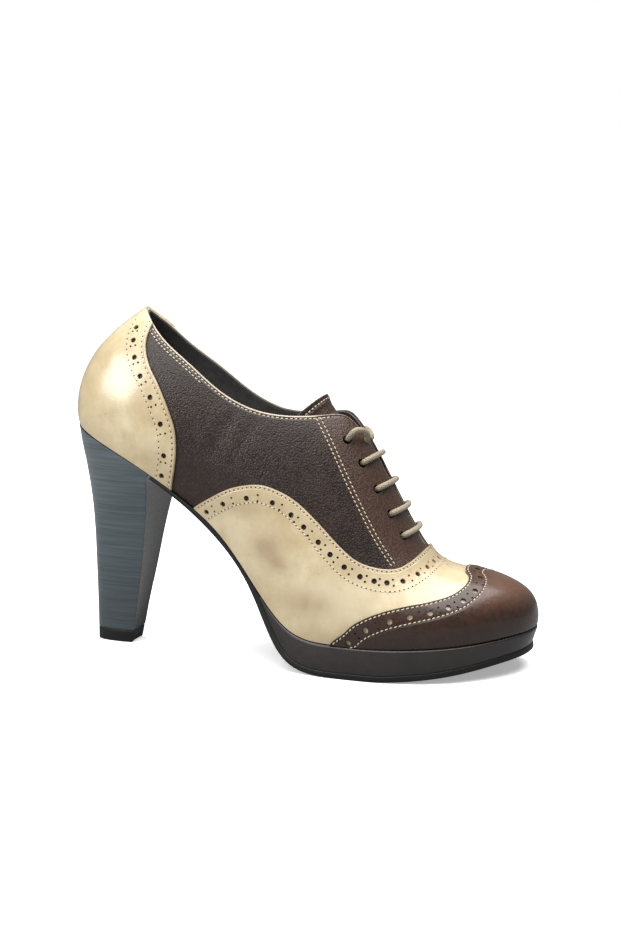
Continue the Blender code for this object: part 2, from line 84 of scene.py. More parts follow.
# Last from the heel seam (u = 0) to the toe tip (u = 14), a row of sizes at each whole u
lastSizes = {
    "names": ("featherX", "featherZ", "ridgeX", "ridgeZ", "floorX", "floorZ", "featherHalf", "widestHalf",
              "widestShare", "bow", "middleY"),
    "sections": (
        (-109.9, 107.9, -69.4, 165.5, -112.1, 105.2, 0.0, 0.0, 0.22, 11.6, 0.0),
        (-105.6, 105.5, -65.8, 163.7, -107.8, 102.9, 13.4, 15.2, 0.22, 10.9, 0.0),
        (-93.2, 99.5, -54.5, 158.0, -94.8, 97.4, 21.4, 23.8, 0.22, 8.0, 0.0),
        (-75.5, 90.4, -33.8, 147.6, -76.7, 88.8, 24.8, 27.2, 0.24, 4.0, 0.0),
        (-56.0, 77.9, -11.8, 136.9, -57.2, 76.3, 23.8, 27.0, 0.28, 1.5, -0.5),
        (-35.0, 60.6, 12.0, 123.9, -36.8, 58.8, 23.0, 28.0, 0.32, 0.0, -1.0),
        (-16.6, 37.5, 28.5, 106.5, -18.2, 35.0, 25.5, 30.5, 0.33, 0.0, -1.0),
        (1.6, 19.0, 42.1, 81.2, -2.4, 7.4, 31.2, 34.6, 0.30, 0.0, -0.6),
        (22.0, 15.0, 53.6, 59.2, 18.6, 0.0, 35.4, 37.2, 0.26, 0.0, 0.0),
        (43.0, 15.0, 63.0, 47.4, 41.6, 0.0, 36.6, 37.8, 0.24, 0.0, 0.2),
        (63.0, 15.9, 75.0, 43.2, 62.4, 1.9, 34.6, 35.4, 0.22, 0.0, 0.8),
        (79.0, 17.0, 87.2, 40.4, 78.4, 4.4, 29.2, 29.9, 0.22, 0.0, 1.8),
        (92.0, 18.2, 96.8, 36.6, 91.4, 6.8, 20.6, 21.2, 0.22, -0.3, 3.2),
        (101.2, 19.3, 102.3, 32.4, 100.4, 8.4, 11.2, 11.6, 0.22, -0.7, 4.4),
        (104.4, 19.7, 104.3, 29.4, 103.4, 9.0, 0.0, 0.0, 0.22, -0.9, 4.8)),
    "turning": ("featherHalf", "widestHalf"),  # these change sign where the outline turns round
    "lowerShare": 0.3,  # share of v from the feather to the widest line
    "bowPower": 0.8,
    "toe": 14.0,
    "tableSteps": 1401,
}
faceSizes = {"step": 0.01, "tipReach": 0.06, "tipTop": 0.97, "levelStep": 0.05, "levelShare": 0.15}


def splineThrough(values, at, sign=1.0):
    # cubic spline through values one step apart, mirrored past both ends
    spare = 4
    values = np.asarray(values, float)
    rows = np.concatenate((sign * values[spare:0:-1], values, sign * values[-2:-2 - spare:-1]))
    count = len(rows)
    matrix = np.eye(count)
    pull = np.zeros(count)
    for k in range(1, count - 1):
        matrix[k, k - 1:k + 2] = (1.0, 4.0, 1.0)
        pull[k] = 6.0 * (rows[k - 1] - 2.0 * rows[k] + rows[k + 1])
    bend = np.linalg.solve(matrix, pull)
    at = np.asarray(at, float) + spare
    k = np.clip(np.floor(at).astype(int), 0, count - 2)
    f = at - k
    e = 1.0 - f
    return e * rows[k] + f * rows[k + 1] + (e ** 3 - e) * bend[k] / 6.0 + (f ** 3 - f) * bend[k + 1] / 6.0


def sizesAt(u):
    columns = zip(lastSizes["names"], np.array(lastSizes["sections"]).T)
    return {name: splineThrough(column, u, -1.0 if name in lastSizes["turning"] else 1.0)
            for name, column in columns}


def lastPoint(u, v, side):
    # v runs from the feather (0) over the widest line to the ridge (1)
    s = sizesAt(u)
    share = lastSizes["lowerShare"]
    rise = np.minimum(v / share, 1.0)
    turn = 0.5 * np.pi * np.maximum((v - share) / (1.0 - share), 0.0)
    lower = s["featherHalf"] + (s["widestHalf"] - s["featherHalf"]) * (1.0 - (1.0 - rise) ** 2)
    half = np.where(v < share, lower, s["widestHalf"] * np.cos(turn))
    along = np.where(v < share, s["widestShare"] * rise,
                     s["widestShare"] + (1.0 - s["widestShare"]) * np.sin(turn))
    back = s["ridgeX"] - s["featherX"]
    tall = s["ridgeZ"] - s["featherZ"]
    length = np.hypot(back, tall)
    push = s["bow"] * np.sin(np.pi * np.maximum(along, 0.0) ** lastSizes["bowPower"])
    x = s["featherX"] + back * along - push * tall / length
    z = s["featherZ"] + tall * along + push * back / length
    return np.stack((x, s["middleY"] + side * half, z), -1)


def lastNormal(u, v, side):
    # the ridge ends in a point, so there the way out is taken a little below it
    toe, reach, top, step = lastSizes["toe"], faceSizes["tipReach"], faceSizes["tipTop"], faceSizes["step"]
    v = np.minimum(v, np.interp(u, (0.0, reach, toe - reach, toe), (top, 1.0, 1.0, top)))
    ahead = lastPoint(u + step, v, side) - lastPoint(u - step, v, side)
    above = lastPoint(u, v + step, side) - lastPoint(u, v - step, side)
    way = -np.reshape(side, (-1, 1)) * np.cross(ahead, above)
    return way / np.maximum(np.linalg.norm(way, axis=-1, keepdims=True), 1e-9)


def upFrom(line, u):
    # the way straight up from the feather or the floor line, seen from the side
    fore = sizesAt(np.minimum(u + faceSizes["levelStep"], lastSizes["toe"]))
    aft = sizesAt(np.maximum(u - faceSizes["levelStep"], 0.0))
    up = np.stack((aft[line + "Z"] - fore[line + "Z"], 0.0 * u, fore[line + "X"] - aft[line + "X"]), -1)
    return up / np.linalg.norm(up, axis=-1, keepdims=True)


def facePoint(u, v, side, lift):
    # a point off the face; near the feather the way out keeps level with the sole
    way = lastNormal(u, v, side)
    up = upFrom("feather", u)
    dip = np.minimum((way * up).sum(-1), 0.0) * np.clip(1.0 - v / faceSizes["levelShare"], 0.0, 1.0)
    way = way - dip[:, None] * up
    way /= np.linalg.norm(way, axis=-1, keepdims=True)
    return lastPoint(u, v, side) + np.reshape(lift, (-1, 1)) * way


def instepPoint(u, across, lift):
    turn = np.arccos(np.clip(np.abs(across) / sizesAt(u)["widestHalf"], 0.0, 1.0))
    v = lastSizes["lowerShare"] + (1.0 - lastSizes["lowerShare"]) * turn / (0.5 * np.pi)
    return facePoint(u, v, np.where(across < 0.0, -1.0, 1.0), lift)


def smoothLine(points, steps):
    p = np.asarray(points, float)
    longer = np.vstack((2.0 * p[0] - p[1], p, 2.0 * p[-1] - p[-2]))
    t = np.linspace(0.0, len(p) - 1.0, (len(p) - 1) * steps + 1)
    k = np.minimum(t.astype(int), len(p) - 2)
    f = (t - k)[:, None]
    a, b, c, d = longer[k], longer[k + 1], longer[k + 2], longer[k + 3]
    return b + 0.5 * f * (c - a + f * (2.0 * a - 5.0 * b + 4.0 * c - d + f * (3.0 * (b - c) + d - a)))


def runOf(line):
    return np.concatenate(([0.0], np.cumsum(np.linalg.norm(np.diff(line, axis=0), axis=1))))


def readAlong(at, run, line):
    return np.stack([np.interp(at, run, column) for column in line.T], -1)


def spacedAlong(line, pitch, ends=False):
    run = runOf(line)
    count = max(int(round(run[-1] / pitch)), 2)
    at = np.linspace(0.0, run[-1], count) if ends else (np.arange(count) + 0.5) / count * run[-1]
    return readAlong(at, run, line)


def halving(inside, low, high, rounds=40):
    for _ in range(rounds):
        half = 0.5 * (low + high)
        keep = inside(half)
        low = np.where(keep, half, low)
        high = np.where(keep, high, half)
    return low


# Top edge of the quarters: collar height every 16 mm, and the throat between the facings
topEdge = {"collarStart": -82.0, "collarStep": 16.0,
           "collar": (163.2, 150.2, 137.0, 124.5, 116.5, 113.8, 114.2, 115.4),
           "innerDip": 2.5, "dipEnd": 5.35, "dipFade": 0.95, "throatStart": 4.6, "throatWide": 5.4,
           "throatNarrow": 7.0, "throatEnd": 25.0 / 3.0, "wideHalf": 6.6, "narrowHalf": 1.4,
           "cornerRound": 2.2}


def throatHalf(u):
    wide, narrow, end = topEdge["throatWide"], topEdge["throatNarrow"], topEdge["throatEnd"]
    share = np.clip((u - wide) / (narrow - wide), 0.0, 1.0)
    closing = np.clip((end - u) / (end - narrow), 0.0, 1.0)
    return (topEdge["wideHalf"] + (topEdge["narrowHalf"] - topEdge["wideHalf"]) * share) * np.sqrt(closing)


def edgeRoom(u, v, side):
    # room left under the collar and beside the throat, the two blended into a rounded corner
    p = lastPoint(u, v, -1.0)
    atCollar = (p[:, 0] - topEdge["collarStart"]) / topEdge["collarStep"]
    below = splineThrough(topEdge["collar"], atCollar) - p[:, 2]
    fade = np.clip(u, 0.0, 1.0) * np.clip((topEdge["dipEnd"] - u) / topEdge["dipFade"], 0.0, 1.0)
    below -= topEdge["innerDip"] * fade * (side > 0.0)
    beside = sizesAt(u)["middleY"] - p[:, 1] - throatHalf(u)
    least = np.minimum(below, beside)
    soft = topEdge["cornerRound"]
    both = least - soft * np.log(np.exp((least - below) / soft) + np.exp((least - beside) / soft))
    return np.where(u < topEdge["throatStart"], below, both)


uTable = np.linspace(0.0, lastSizes["toe"], lastSizes["tableSteps"])
ones = np.ones_like(uTable)
edgeTables = {}
for side in bothSides:
    edgeTables[side] = halving(lambda v: edgeRoom(uTable, v, side) > 0.0,
                               lastSizes["lowerShare"] * ones, ones)
    edgeTables[side][uTable >= topEdge["throatEnd"] - 1e-6] = 1.0


def edgeShare(u, side):
    return np.interp(u, uTable, edgeTables[side])


# Soft creases: u and v at each end, half width and depth; each has a low rim on both sides
creaseSizes = {"samples": 25, "rim": 0.45, "rimAway": 1.7, "lines": (
    ((9.05, 1.00), (8.80, 0.72), 3.6, 0.34),
    ((9.55, 1.00), (9.30, 0.66), 3.2, 0.40),
    ((9.98, 1.00), (9.75, 0.78), 2.6, 0.22),
    ((8.10, 0.52), (8.60, 0.26), 4.5, 0.30),
    ((7.30, 0.40), (7.90, 0.16), 4.0, 0.22),
    ((5.60, 0.34), (6.30, 0.20), 5.0, 0.28),
    ((4.10, 0.56), (4.25, 0.30), 3.6, 0.16),
    ((4.40, 0.60), (4.55, 0.36), 3.2, 0.12),
    ((5.20, 0.62), (5.95, 0.50), 4.0, 0.26),
    ((2.20, 0.20), (2.90, 0.36), 5.0, 0.22),
)}


def creaseDepth(points, side):
    depth = np.zeros(len(points))
    t = np.linspace(0.0, 1.0, creaseSizes["samples"])
    for start, finish, width, deep in creaseSizes["lines"]:
        line = lastPoint(start[0] + (finish[0] - start[0]) * t, start[1] + (finish[1] - start[1]) * t, side)
        away = np.linalg.norm(points[:, None, :] - line[None, :, :], axis=2)
        along = t[away.argmin(axis=1)]
        # a crease that crosses the ridge is deepest there, any other in its middle
        fade = 1.0 - along ** 2 if start[1] == 1.0 else 4.0 * along * (1.0 - along)
        away = away.min(axis=1) / width
        rim = creaseSizes["rim"] * np.exp(-(away - creaseSizes["rimAway"]) ** 2)
        depth += deep * fade * (np.exp(-away ** 2) - rim)
    return depth


def gridSheet(bm, columns, rows):
    # a flat grid, with each vertex's share across it and up it
    made = bmesh.ops.create_grid(bm, x_segments=columns, y_segments=rows, size=0.5)["verts"]
    return made, np.array([vert.co[0] for vert in made]) + 0.5, np.array([vert.co[1] for vert in made]) + 0.5


def placeVerts(made, points):
    for vert, point in zip(made, points):
        vert.co = point


def facesOf(made):
    return list({face for vert in made for face in vert.link_faces})


def closeUp(bm, weld, thinnest=0.0):
    # join the halves, fill what is open and turn the faces outwards
    bmesh.ops.remove_doubles(bm, verts=bm.verts, dist=weld)
    if thinnest:
        bmesh.ops.dissolve_degenerate(bm, edges=bm.edges, dist=thinnest)
    bmesh.ops.holes_fill(bm, edges=bm.edges, sides=0)
    bmesh.ops.recalc_face_normals(bm, faces=bm.faces)


def skinSheet(sizes, place, weld=0.03):
    # a sheet over both sides of the last, joined along the ridge
    columns, rows = [int(sizes[key] * drawing["fine"]) for key in ("columns", "rows")]
    bm = bmesh.new()
    for side in bothSides:
        made, a, b = gridSheet(bm, columns, rows)
        u, v = place(a, b, side)
        points = facePoint(u, v, side, sizes["lift"])
        placeVerts(made, points - creaseDepth(points, side)[:, None] * lastNormal(u, v, side))
        if side > 0.0:
            bmesh.ops.reverse_faces(bm, faces=facesOf(made))
    bmesh.ops.remove_doubles(bm, verts=bm.verts, dist=weld)
    bm.normal_update()
    return bm


def changed(bm, *changes):
    # the same mesh with modifiers applied
    mesh = meshFrom("work", bm)
    work = addObject("work", mesh)
    for kind, settings in changes:
        modifier = work.modifiers.new(kind, kind)
        for key, value in settings.items():
            setattr(modifier, key, value)
    made = bpy.data.meshes.new_from_object(work.evaluated_get(bpy.context.evaluated_depsgraph_get()))
    result = bmesh.new()
    result.from_mesh(made)
    bpy.data.objects.remove(work)
    bpy.data.meshes.remove(mesh)
    bpy.data.meshes.remove(made)
    return result


def finishPiece(name, bm, materials, nodes=(), facts=None, sharp=40.0, thinnest=0.005):
    # facts are attributes worked out from the points in mm, which the materials read
    bmesh.ops.dissolve_degenerate(bm, edges=bm.edges, dist=thinnest)
    mesh = meshFrom(name, bm)
    spots = np.empty(3 * len(mesh.vertices))
    mesh.vertices.foreach_get("co", spots)
    for key, values in (facts or {}).items():
        layer = mesh.attributes.new(key, "FLOAT", "POINT")
        layer.data.foreach_set("value", np.asarray(values(spots.reshape(-1, 3)), dtype=np.float32))
    mesh.transform(toFrame)
    for material in materials:
        mesh.materials.append(material)
    mesh.shade_smooth()
    mesh.set_sharp_from_angle(angle=math.radians(sharp))
    piece = addObject(name, mesh)
    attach(piece, "root")
    if nodes:
        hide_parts(*nodes)
    print(name, len(mesh.polygons), "faces")


def distanceTo(lines, pitch=0.4):
    samples = np.vstack([spacedAlong(line, pitch, True) for line in lines])
    tree = KDTree(len(samples))
    for k, spot in enumerate(samples):
        tree.insert(spot, k)
    tree.balance()
    return lambda points: np.array([tree.find(point)[2] for point in points])


# Panels: rounded rim, punches, how far off the panel an inset point may fall, and steps of edge lines
panelSizes = {"rimSteps": 2, "rimAngle": 50.0, "punchDeep": 3.0, "eyeletSides": 16, "holeSides": 14,
              "pinSides": 8, "missShare": 0.3, "linePitch": 1.2, "curveSteps": 8}


def insetLine(tree, line, inward, distance, trim=False):
    # a line moved into a panel along its face; trim leaves out what would fall off the panel
    spots = []
    for point, way, reach in zip(line, np.gradient(line, axis=0), distance * np.ones(len(line))):
        location, normal = tree.find_nearest(Vector(point))[:2]
        step = inward * normal.cross(Vector(way)).normalized()
        near, _, _, missed = tree.find_nearest(location + step * reach)
        if not trim or missed < panelSizes["missShare"] * reach:
            spots.append(near)
    return np.array(spots)


def punchHoles(tree, spots, across, corners, bm=None):
    bm = bm or bmesh.new()
    for spot in spots:
        location, normal = tree.find_nearest(Vector(spot))[:2]
        place = Matrix.Translation(location) @ normal.to_track_quat("Z", "Y").to_matrix().to_4x4()
        bmesh.ops.create_cone(bm, cap_ends=True, segments=corners, radius1=0.5 * across, radius2=0.5 * across,
                              depth=2.0 * panelSizes["punchDeep"], matrix=place)
    return bm


def cutBy(bm, punches):
    mesh = meshFrom("punches", punches)
    cutter = addObject("punches", mesh)
    result = changed(bm, ("BOOLEAN", {"operation": "DIFFERENCE", "solver": "MANIFOLD", "object": cutter}))
    bpy.data.objects.remove(cutter)
    bpy.data.meshes.remove(mesh)
    return result


def rounding(width, steps, angle):
    return "BEVEL", {"width": width, "segments": steps, "profile": 0.5, "limit_method": "ANGLE",
                     "angle_limit": math.radians(angle)}


def closePanel(bm, sizes):
    # sheet to panel, its thickness on the inner side and its rim rounded over
    return changed(bm, ("SOLIDIFY", {"thickness": sizes["thick"], "offset": -1.0}),
                   rounding(sizes["round"], panelSizes["rimSteps"], panelSizes["rimAngle"]))


# Thread: twisted linen, one short grain for each stitch and, between each two, a dark bead at the needle
# hole, painted shade
threadSizes = {"pitch": 2.1, "long": 1.6, "across": 0.62, "sink": 0.12, "needle": 0.95, "needleSink": 0.24,
               "lean": 0.14, "around": 6, "rings": 5}
threadBm = bmesh.new()
needleBm = bmesh.new()
grainBm = bmesh.new()
bmesh.ops.create_uvsphere(grainBm, u_segments=threadSizes["around"], v_segments=threadSizes["rings"],
                          radius=0.5, matrix=Matrix.Rotation(0.5 * math.pi, 4, "Y"))
bmesh.ops.scale(grainBm, verts=grainBm.verts,
                vec=(threadSizes["long"], threadSizes["across"], threadSizes["across"]))
grain = meshFrom("grain", grainBm)


def sewAlong(tree, line, pitch=threadSizes["pitch"]):
    spots = spacedAlong(line, pitch)
    for spot, way in zip(spots, np.gradient(spots, axis=0)):
        location, normal = tree.find_nearest(Vector(spot))[:2]
        along = Vector(way).normalized()
        along = (along - normal * along.dot(normal)).normalized()
        along = (along + threadSizes["lean"] * normal.cross(along)).normalized()
        turn = Matrix((along, normal.cross(along), normal)).transposed().to_4x4()
        place = Matrix.Translation(location - normal * threadSizes["sink"]) @ turn
        grain.transform(place)
        threadBm.from_mesh(grain)
        grain.transform(place.inverted())
        hole = location + along * 0.5 * pitch - normal * threadSizes["needleSink"]
        bmesh.ops.create_icosphere(needleBm, subdivisions=1, radius=0.5 * threadSizes["needle"],
                                   matrix=Matrix.Translation(hole))


def alongEdge(edge, pairs, both):
    # a distance that changes along an edge, as runs and values; both counts the run from each end
    run = runOf(edge)
    return np.interp(np.minimum(run, run[-1] - run) if both else run, *zip(*pairs))


def broguePunches(tree, edge, inward, sizes, both):
    # big holes at distances along the panel's edge, with a pair of pin holes set across between each two
    run = runOf(edge)
    line = insetLine(tree, edge, inward, alongEdge(edge, sizes["holeInset"], both))
    places = np.array(sizes["holes"])
    between = places[:-1] + sizes["pinShare"] * np.diff(places)
    if both:
        middle = 0.5 * run[-1]
        between = np.append(between, places[-1] + sizes["pinShare"] * (middle - places[-1]))
        places = np.concatenate((places, [middle], run[-1] - places[::-1]))
        between = np.concatenate((between, run[-1] - between[::-1]))
    pairs = []
    for point, way in zip(readAlong(between, run, line), readAlong(between, run, np.gradient(line, axis=0))):
        location, normal = tree.find_nearest(Vector(point))[:2]
        across = normal.cross(Vector(way)).normalized() * 0.5 * sizes["pinApart"]
        pairs += [location + across, location - across]
    punches = punchHoles(tree, readAlong(places, run, line), sizes["holeAcross"], panelSizes["holeSides"])
    return punchHoles(tree, pairs, sizes["pinAcross"], panelSizes["pinSides"], punches)


def broguePanel(sizes, place, edges, both):
    # a panel with its holes and stitch rows along each edge, given as a line and the way in from it
    bm = skinSheet(sizes, place)
    tree = BVHTree.FromBMesh(bm)
    shell = closePanel(bm, sizes)
    for line, inward in edges:
        shell = cutBy(shell, broguePunches(tree, line, inward, sizes, both))
        for row in sizes["sewn"]:
            inset = insetLine(tree, line, inward, alongEdge(line, row, both), True)
            sewAlong(tree, inset, sizes["stitch"])
    return shell


def overRidge(lines):
    # one even line up the outer side's edge, over the ridge and down the inner side's
    return spacedAlong(np.vstack((lines[0], lines[1][-2::-1])), panelSizes["linePitch"], True)


def patches(points, spots):
    # soft patches on both sides: x, z, spread along and up, and strength
    x, z = points[:, 0], points[:, 2]
    return sum(deep * np.exp(-((x - atX) / wide) ** 2 - ((z - atZ) / tall) ** 2)
               for atX, atZ, wide, tall, deep in spots)


def ramp(values, start, reach, deep):
    # from 0 at the start to its full depth after the reach, which is below 0 where values fall
    return deep * np.clip((values - start) / reach, 0.0, 1.0)


def tint(code):
    parts = [int(code[k:k + 2], 16) / 255.0 for k in (1, 3, 5)]
    return [c / 12.92 if c <= 0.04045 else ((c + 0.055) / 1.055) ** 2.4 for c in parts] + [1.0]


def addNode(tree, kind, settings=None, links=None):
    node = tree.nodes.new(kind)
    for key, value in (settings or {}).items():
        if isinstance(key, int) or key in node.inputs:
            node.inputs[key].default_value = value
        else:
            setattr(node, key, value)
    for key, source in (links or {}).items():
        tree.links.new(source, node.inputs[key])
    return node


def startMaterial(name, settings):
    material = bpy.data.materials.new(name)
    material.use_nodes = True
    tree = material.node_tree
    surface = tree.nodes["Principled BSDF"]
    for key, value in settings.items():
        surface.inputs[key].default_value = value
    spot = addNode(tree, "ShaderNodeTexCoord").outputs["Object"]
    return material, tree, surface, spot


def coatSurface(tree, surface, look, drift, layers, reliefs):
    # the base colour drifts to the light one under layers of colour, each a share and a colour
    # each relief is a height, its depth in mm and whether it goes inwards
    colour = addNode(tree, "ShaderNodeMix", {"data_type": "RGBA", 6: tint(look["base"]),
                                             7: tint(look["light"])}, {0: drift}).outputs[2]
    for share, code in layers:
        colour = addNode(tree, "ShaderNodeMix", {"data_type": "RGBA", 7: tint(code)},
                         {0: share, 6: colour}).outputs[2]
    tree.links.new(colour, surface.inputs["Base Color"])
    under = {}
    for height, deep, inwards in reliefs:
        bump = addNode(tree, "ShaderNodeBump", {"Distance": 0.001 * deep, "Strength": 1.0, "invert": inwards},
                       {"Height": height, **under})
        under = {"Normal": bump.outputs[0]}
    tree.links.new(under["Normal"], surface.inputs["Normal"])


# Every leather, unless its own look says otherwise; lengths in mm
leatherUsual = {"smoothGrain": 0.0, "valleyShade": 0.0, "raw": 0.0, "rawReach": (0.35, 0.85), "rawCut": "#cbbba2",
                "edgeDark": 0.0, "rows": (), "rowHalf": 0.8, "rowDeep": 0.4, "rowLow": 0.35,
                "edgeReach": 16.0, "rim": ((0.0, 0.15), (0.06, 0.9), (1.0, 1.0)), "fineMm": 3.0,
                "poreMm": 0.9, "bendGrains": 2.4, "bendShare": 0.7}


def makeLeather(name, settings, own):
    # colour drifts in clouds and darkens by the shade attribute, at cut edges and along stitch channels;
    # painted shade darkens the pebble valleys; the bump carries pebbles, pores and the shallow channel under
    # each stitch row; an attribute that a piece doesn't have reads as 0
    look = {**leatherUsual, "polished": own["light"], **own}
    material, tree, surface, spot = startMaterial(name, settings)
    edge, smooth, shade = [addNode(tree, "ShaderNodeAttribute", {"attribute_name": key}).outputs["Fac"]
                           for key in ("edgeMm", "smooth", "shade")]
    noises = (
        {"Scale": 1000.0 / (look["bendGrains"] * look["grainMm"]), "Detail": 2.0},
        {"Scale": 1000.0 / look["cloudMm"], "Detail": 4.0, "Roughness": 0.62, "Distortion": 0.6},
        {"Scale": 1000.0 / look["fineMm"], "Detail": 3.0, "Roughness": 0.7},
        {"Scale": 1000.0 / look["poreMm"], "Detail": 3.0, "Roughness": 0.6})
    bent, cloud, fine, pores = [addNode(tree, "ShaderNodeTexNoise", noise, {"Vector": spot}).outputs
                                for noise in noises]
    pull = addNode(tree, "ShaderNodeVectorMath",
                   {"operation": "MULTIPLY_ADD", 1: (0.001 * look["bendShare"] * look["grainMm"],) * 3},
                   {0: bent["Color"], 2: spot})
    cells = addNode(tree, "ShaderNodeTexVoronoi", {"feature": "SMOOTH_F1", "Scale": 1000.0 / look["grainMm"],
                                                   "Smoothness": 0.35}, {"Vector": pull.outputs[0]})
    pebble = cells.outputs["Distance"]
    share = addNode(tree, "ShaderNodeMath", {"operation": "DIVIDE", 1: look["edgeReach"]}, {0: edge})
    channel = addNode(tree, "ShaderNodeValToRGB", {}, {0: share.outputs[0]})
    stops = list(look["rim"])
    for row in look["rows"]:
        for away, height in ((-look["rowHalf"], 1.0), (0.0, look["rowLow"]), (look["rowHalf"], 1.0)):
            stops.append(((row + away) / look["edgeReach"], height))
    elements = channel.color_ramp.elements
    for k, (place, value) in enumerate(sorted(stops)):
        stop = elements[k] if k < 1 else elements.new(place) if k < len(stops) - 1 else elements[-1]
        stop.position = place
        stop.color = (value, value, value, 1.0)
    ranges = {  # each a source, where it starts and ends, and what it gives there
        "strong": (smooth, 0.0, 1.0, 1.0, 1.0 - look["smoothGrain"]),
        # painted shade: colour darkened in the valleys between the pebbles
        "border": (pebble, 0.22, 0.52, 0.0, look["valleyShade"]),
        "drift": (cloud["Fac"], 0.34, 0.68, 0.0, 1.0),
        "speck": (fine["Fac"], 0.30, 0.62, look["fineDark"], 0.0),
        "worn": (channel.outputs["Color"], 0.0, 1.0, look["edgeDark"], 0.0),
        "raw": (edge, *look["rawReach"], look["raw"], 0.0),
        "gloss": (fine["Fac"], 0.3, 0.7, look["roughLow"], look["roughHigh"])}
    for key, (source, *ends) in ranges.items():
        ranges[key] = addNode(tree, "ShaderNodeMapRange", dict(enumerate(ends, 1)), {0: source}).outputs[0]
    uneven = addNode(tree, "ShaderNodeMath", {"operation": "MULTIPLY_ADD", 1: 1.5, 2: -0.25},
                     {0: cloud["Fac"]})
    products = ((True, shade, uneven.outputs[0]), (False, ranges["border"], ranges["strong"]),
                (False, pebble, ranges["strong"]))
    broken, valleyShade, raised = [addNode(tree, "ShaderNodeMath", {"operation": "MULTIPLY", "use_clamp": clamp},
                                      {0: first, 1: second}).outputs[0] for clamp, first, second in products]
    layers = ((ranges["speck"], look["dark"]), (smooth, look["polished"]), (broken, look["dark"]),
              (ranges["worn"], look["dark"]), (valleyShade, look["dark"]), (ranges["raw"], look["rawCut"]))
    reliefs = ((raised, look["grainDeep"], True), (pores["Fac"], look["poreDeep"], False),
               (channel.outputs["Color"], look["rowDeep"], False))
    coatSurface(tree, surface, look, ranges["drift"], layers, reliefs)
    tree.links.new(ranges["gloss"], surface.inputs["Roughness"])
    return material


# Antiqued cream calf: waxed and burnished, so it shines softly and clouds to tan
creamLeather = makeLeather("antiqued_cream_calf", {"IOR": 1.5, "Coat Weight": 0.8, "Coat Roughness": 0.22}, {
    "base": "#baa781", "light": "#d3c4a1", "dark": "#86694a", "polished": "#e0d3b4", "cloudMm": 26.0,
    "fineMm": 5.0, "fineDark": 0.16, "edgeDark": 0.45, "rows": (1.25,), "roughLow": 0.26, "roughHigh": 0.40,
    "grainMm": 0.9, "grainDeep": 0.03, "poreDeep": 0.03})

# Tumbled brown calf: small round pebbles break the shine into points; the valleys between them carry painted
# shade
brownLeather = makeLeather("tumbled_brown_calf", {"IOR": 1.45}, {
    "base": "#2e1f19", "light": "#402d24", "dark": "#120c0a", "polished": "#573f33",
    "smoothGrain": 0.15, "raw": 0.9, "valleyShade": 0.7, "cloudMm": 30.0, "fineMm": 4.0, "fineDark": 0.25,
    "edgeDark": 0.2, "rows": (1.4,), "roughLow": 0.28, "roughHigh": 0.40, "grainMm": 0.75,
    "grainDeep": 0.15, "poreDeep": 0.02})

# Burnished dark brown calf of the toe cap: smooth, a painted highlight on the crown, painted shade low down
capLeather = makeLeather("burnished_brown_calf", {"IOR": 1.4, "Coat Weight": 0.3, "Coat Roughness": 0.16}, {
    "base": "#36221a", "light": "#4e3223", "dark": "#0f0a08", "polished": "#664838", "cloudMm": 14.0,
    "fineDark": 0.45, "edgeDark": 0.7, "rows": (0.95, 7.7), "roughLow": 0.24, "roughHigh": 0.42,
    "grainMm": 0.9, "grainDeep": 0.05, "poreDeep": 0.07})

# Dark brown leather wrapped round the platform: stained and polished smooth
wrapLeather = makeLeather("stained_platform_leather", {
    "IOR": 1.47, "Coat Weight": 0.3, "Coat Roughness": 0.16}, {
    "base": "#1d1716", "light": "#282020", "dark": "#100d0c", "cloudMm": 18.0, "fineDark": 0.4,
    "roughLow": 0.30, "roughHigh": 0.44, "grainMm": 0.8, "grainDeep": 0.05, "poreDeep": 0.04})

# Black kid lining: thin, dull, a little fuzzy
liningLeather = makeLeather("black_kid_lining", {"IOR": 1.45, "Sheen Weight": 0.15, "Sheen Roughness": 0.5}, {
    "base": "#504d4b", "light": "#5f5c5a", "dark": "#2d2b2b", "cloudMm": 24.0, "fineDark": 0.4,
    "roughLow": 0.5, "roughHigh": 0.68, "grainMm": 0.9, "grainDeep": 0.06, "poreDeep": 0.05})

# Heel breast: black leather glued on and polished
breastLeather = makeLeather("polished_breast_leather", {
    "IOR": 1.42, "Coat Weight": 0.05, "Coat Roughness": 0.15}, {
    "base": "#242628", "light": "#303335", "dark": "#141516", "cloudMm": 20.0, "fineDark": 0.3,
    "roughLow": 0.20, "roughHigh": 0.30, "grainMm": 0.8, "grainDeep": 0.001, "poreDeep": 0.001})
print("leathers ready")

# Stacked heel: thin leather lifts pressed together, stained slate grey and waxed, so fine lines run round it;
# its colours are paler and bluer than the stain, a painted reflection of the white surroundings, and darker
# towards the floor, painted shade
heelLook = {"liftMm": 1.3, "streakMm": 0.5, "stretch": 0.02, "base": "#475257", "light": "#556268",
            "dark": "#181e21", "lineDark": 0.35, "footShade": 0.55, "footReach": (0.02, 0.09),
            "ridgeDeep": 0.04}
stackedHeel, tree, surface, spot = startMaterial("stacked_leather_lifts", {
    "IOR": 1.5, "Coat Weight": 0.4, "Coat Roughness": 0.22, "Roughness": 0.38})
flat = addNode(tree, "ShaderNodeMapping", {"Scale": (heelLook["stretch"], heelLook["stretch"], 1.0)},
               {"Vector": spot}).outputs[0]
lifts, streaks = [addNode(tree, "ShaderNodeTexNoise", {"Scale": 1000.0 / wide, "Detail": detail},
                          {"Vector": flat}).outputs["Fac"]
                  for wide, detail in ((heelLook["liftMm"], 2.0), (heelLook["streakMm"], 3.0))]
high = addNode(tree, "ShaderNodeSeparateXYZ", {}, {0: spot}).outputs["Z"]
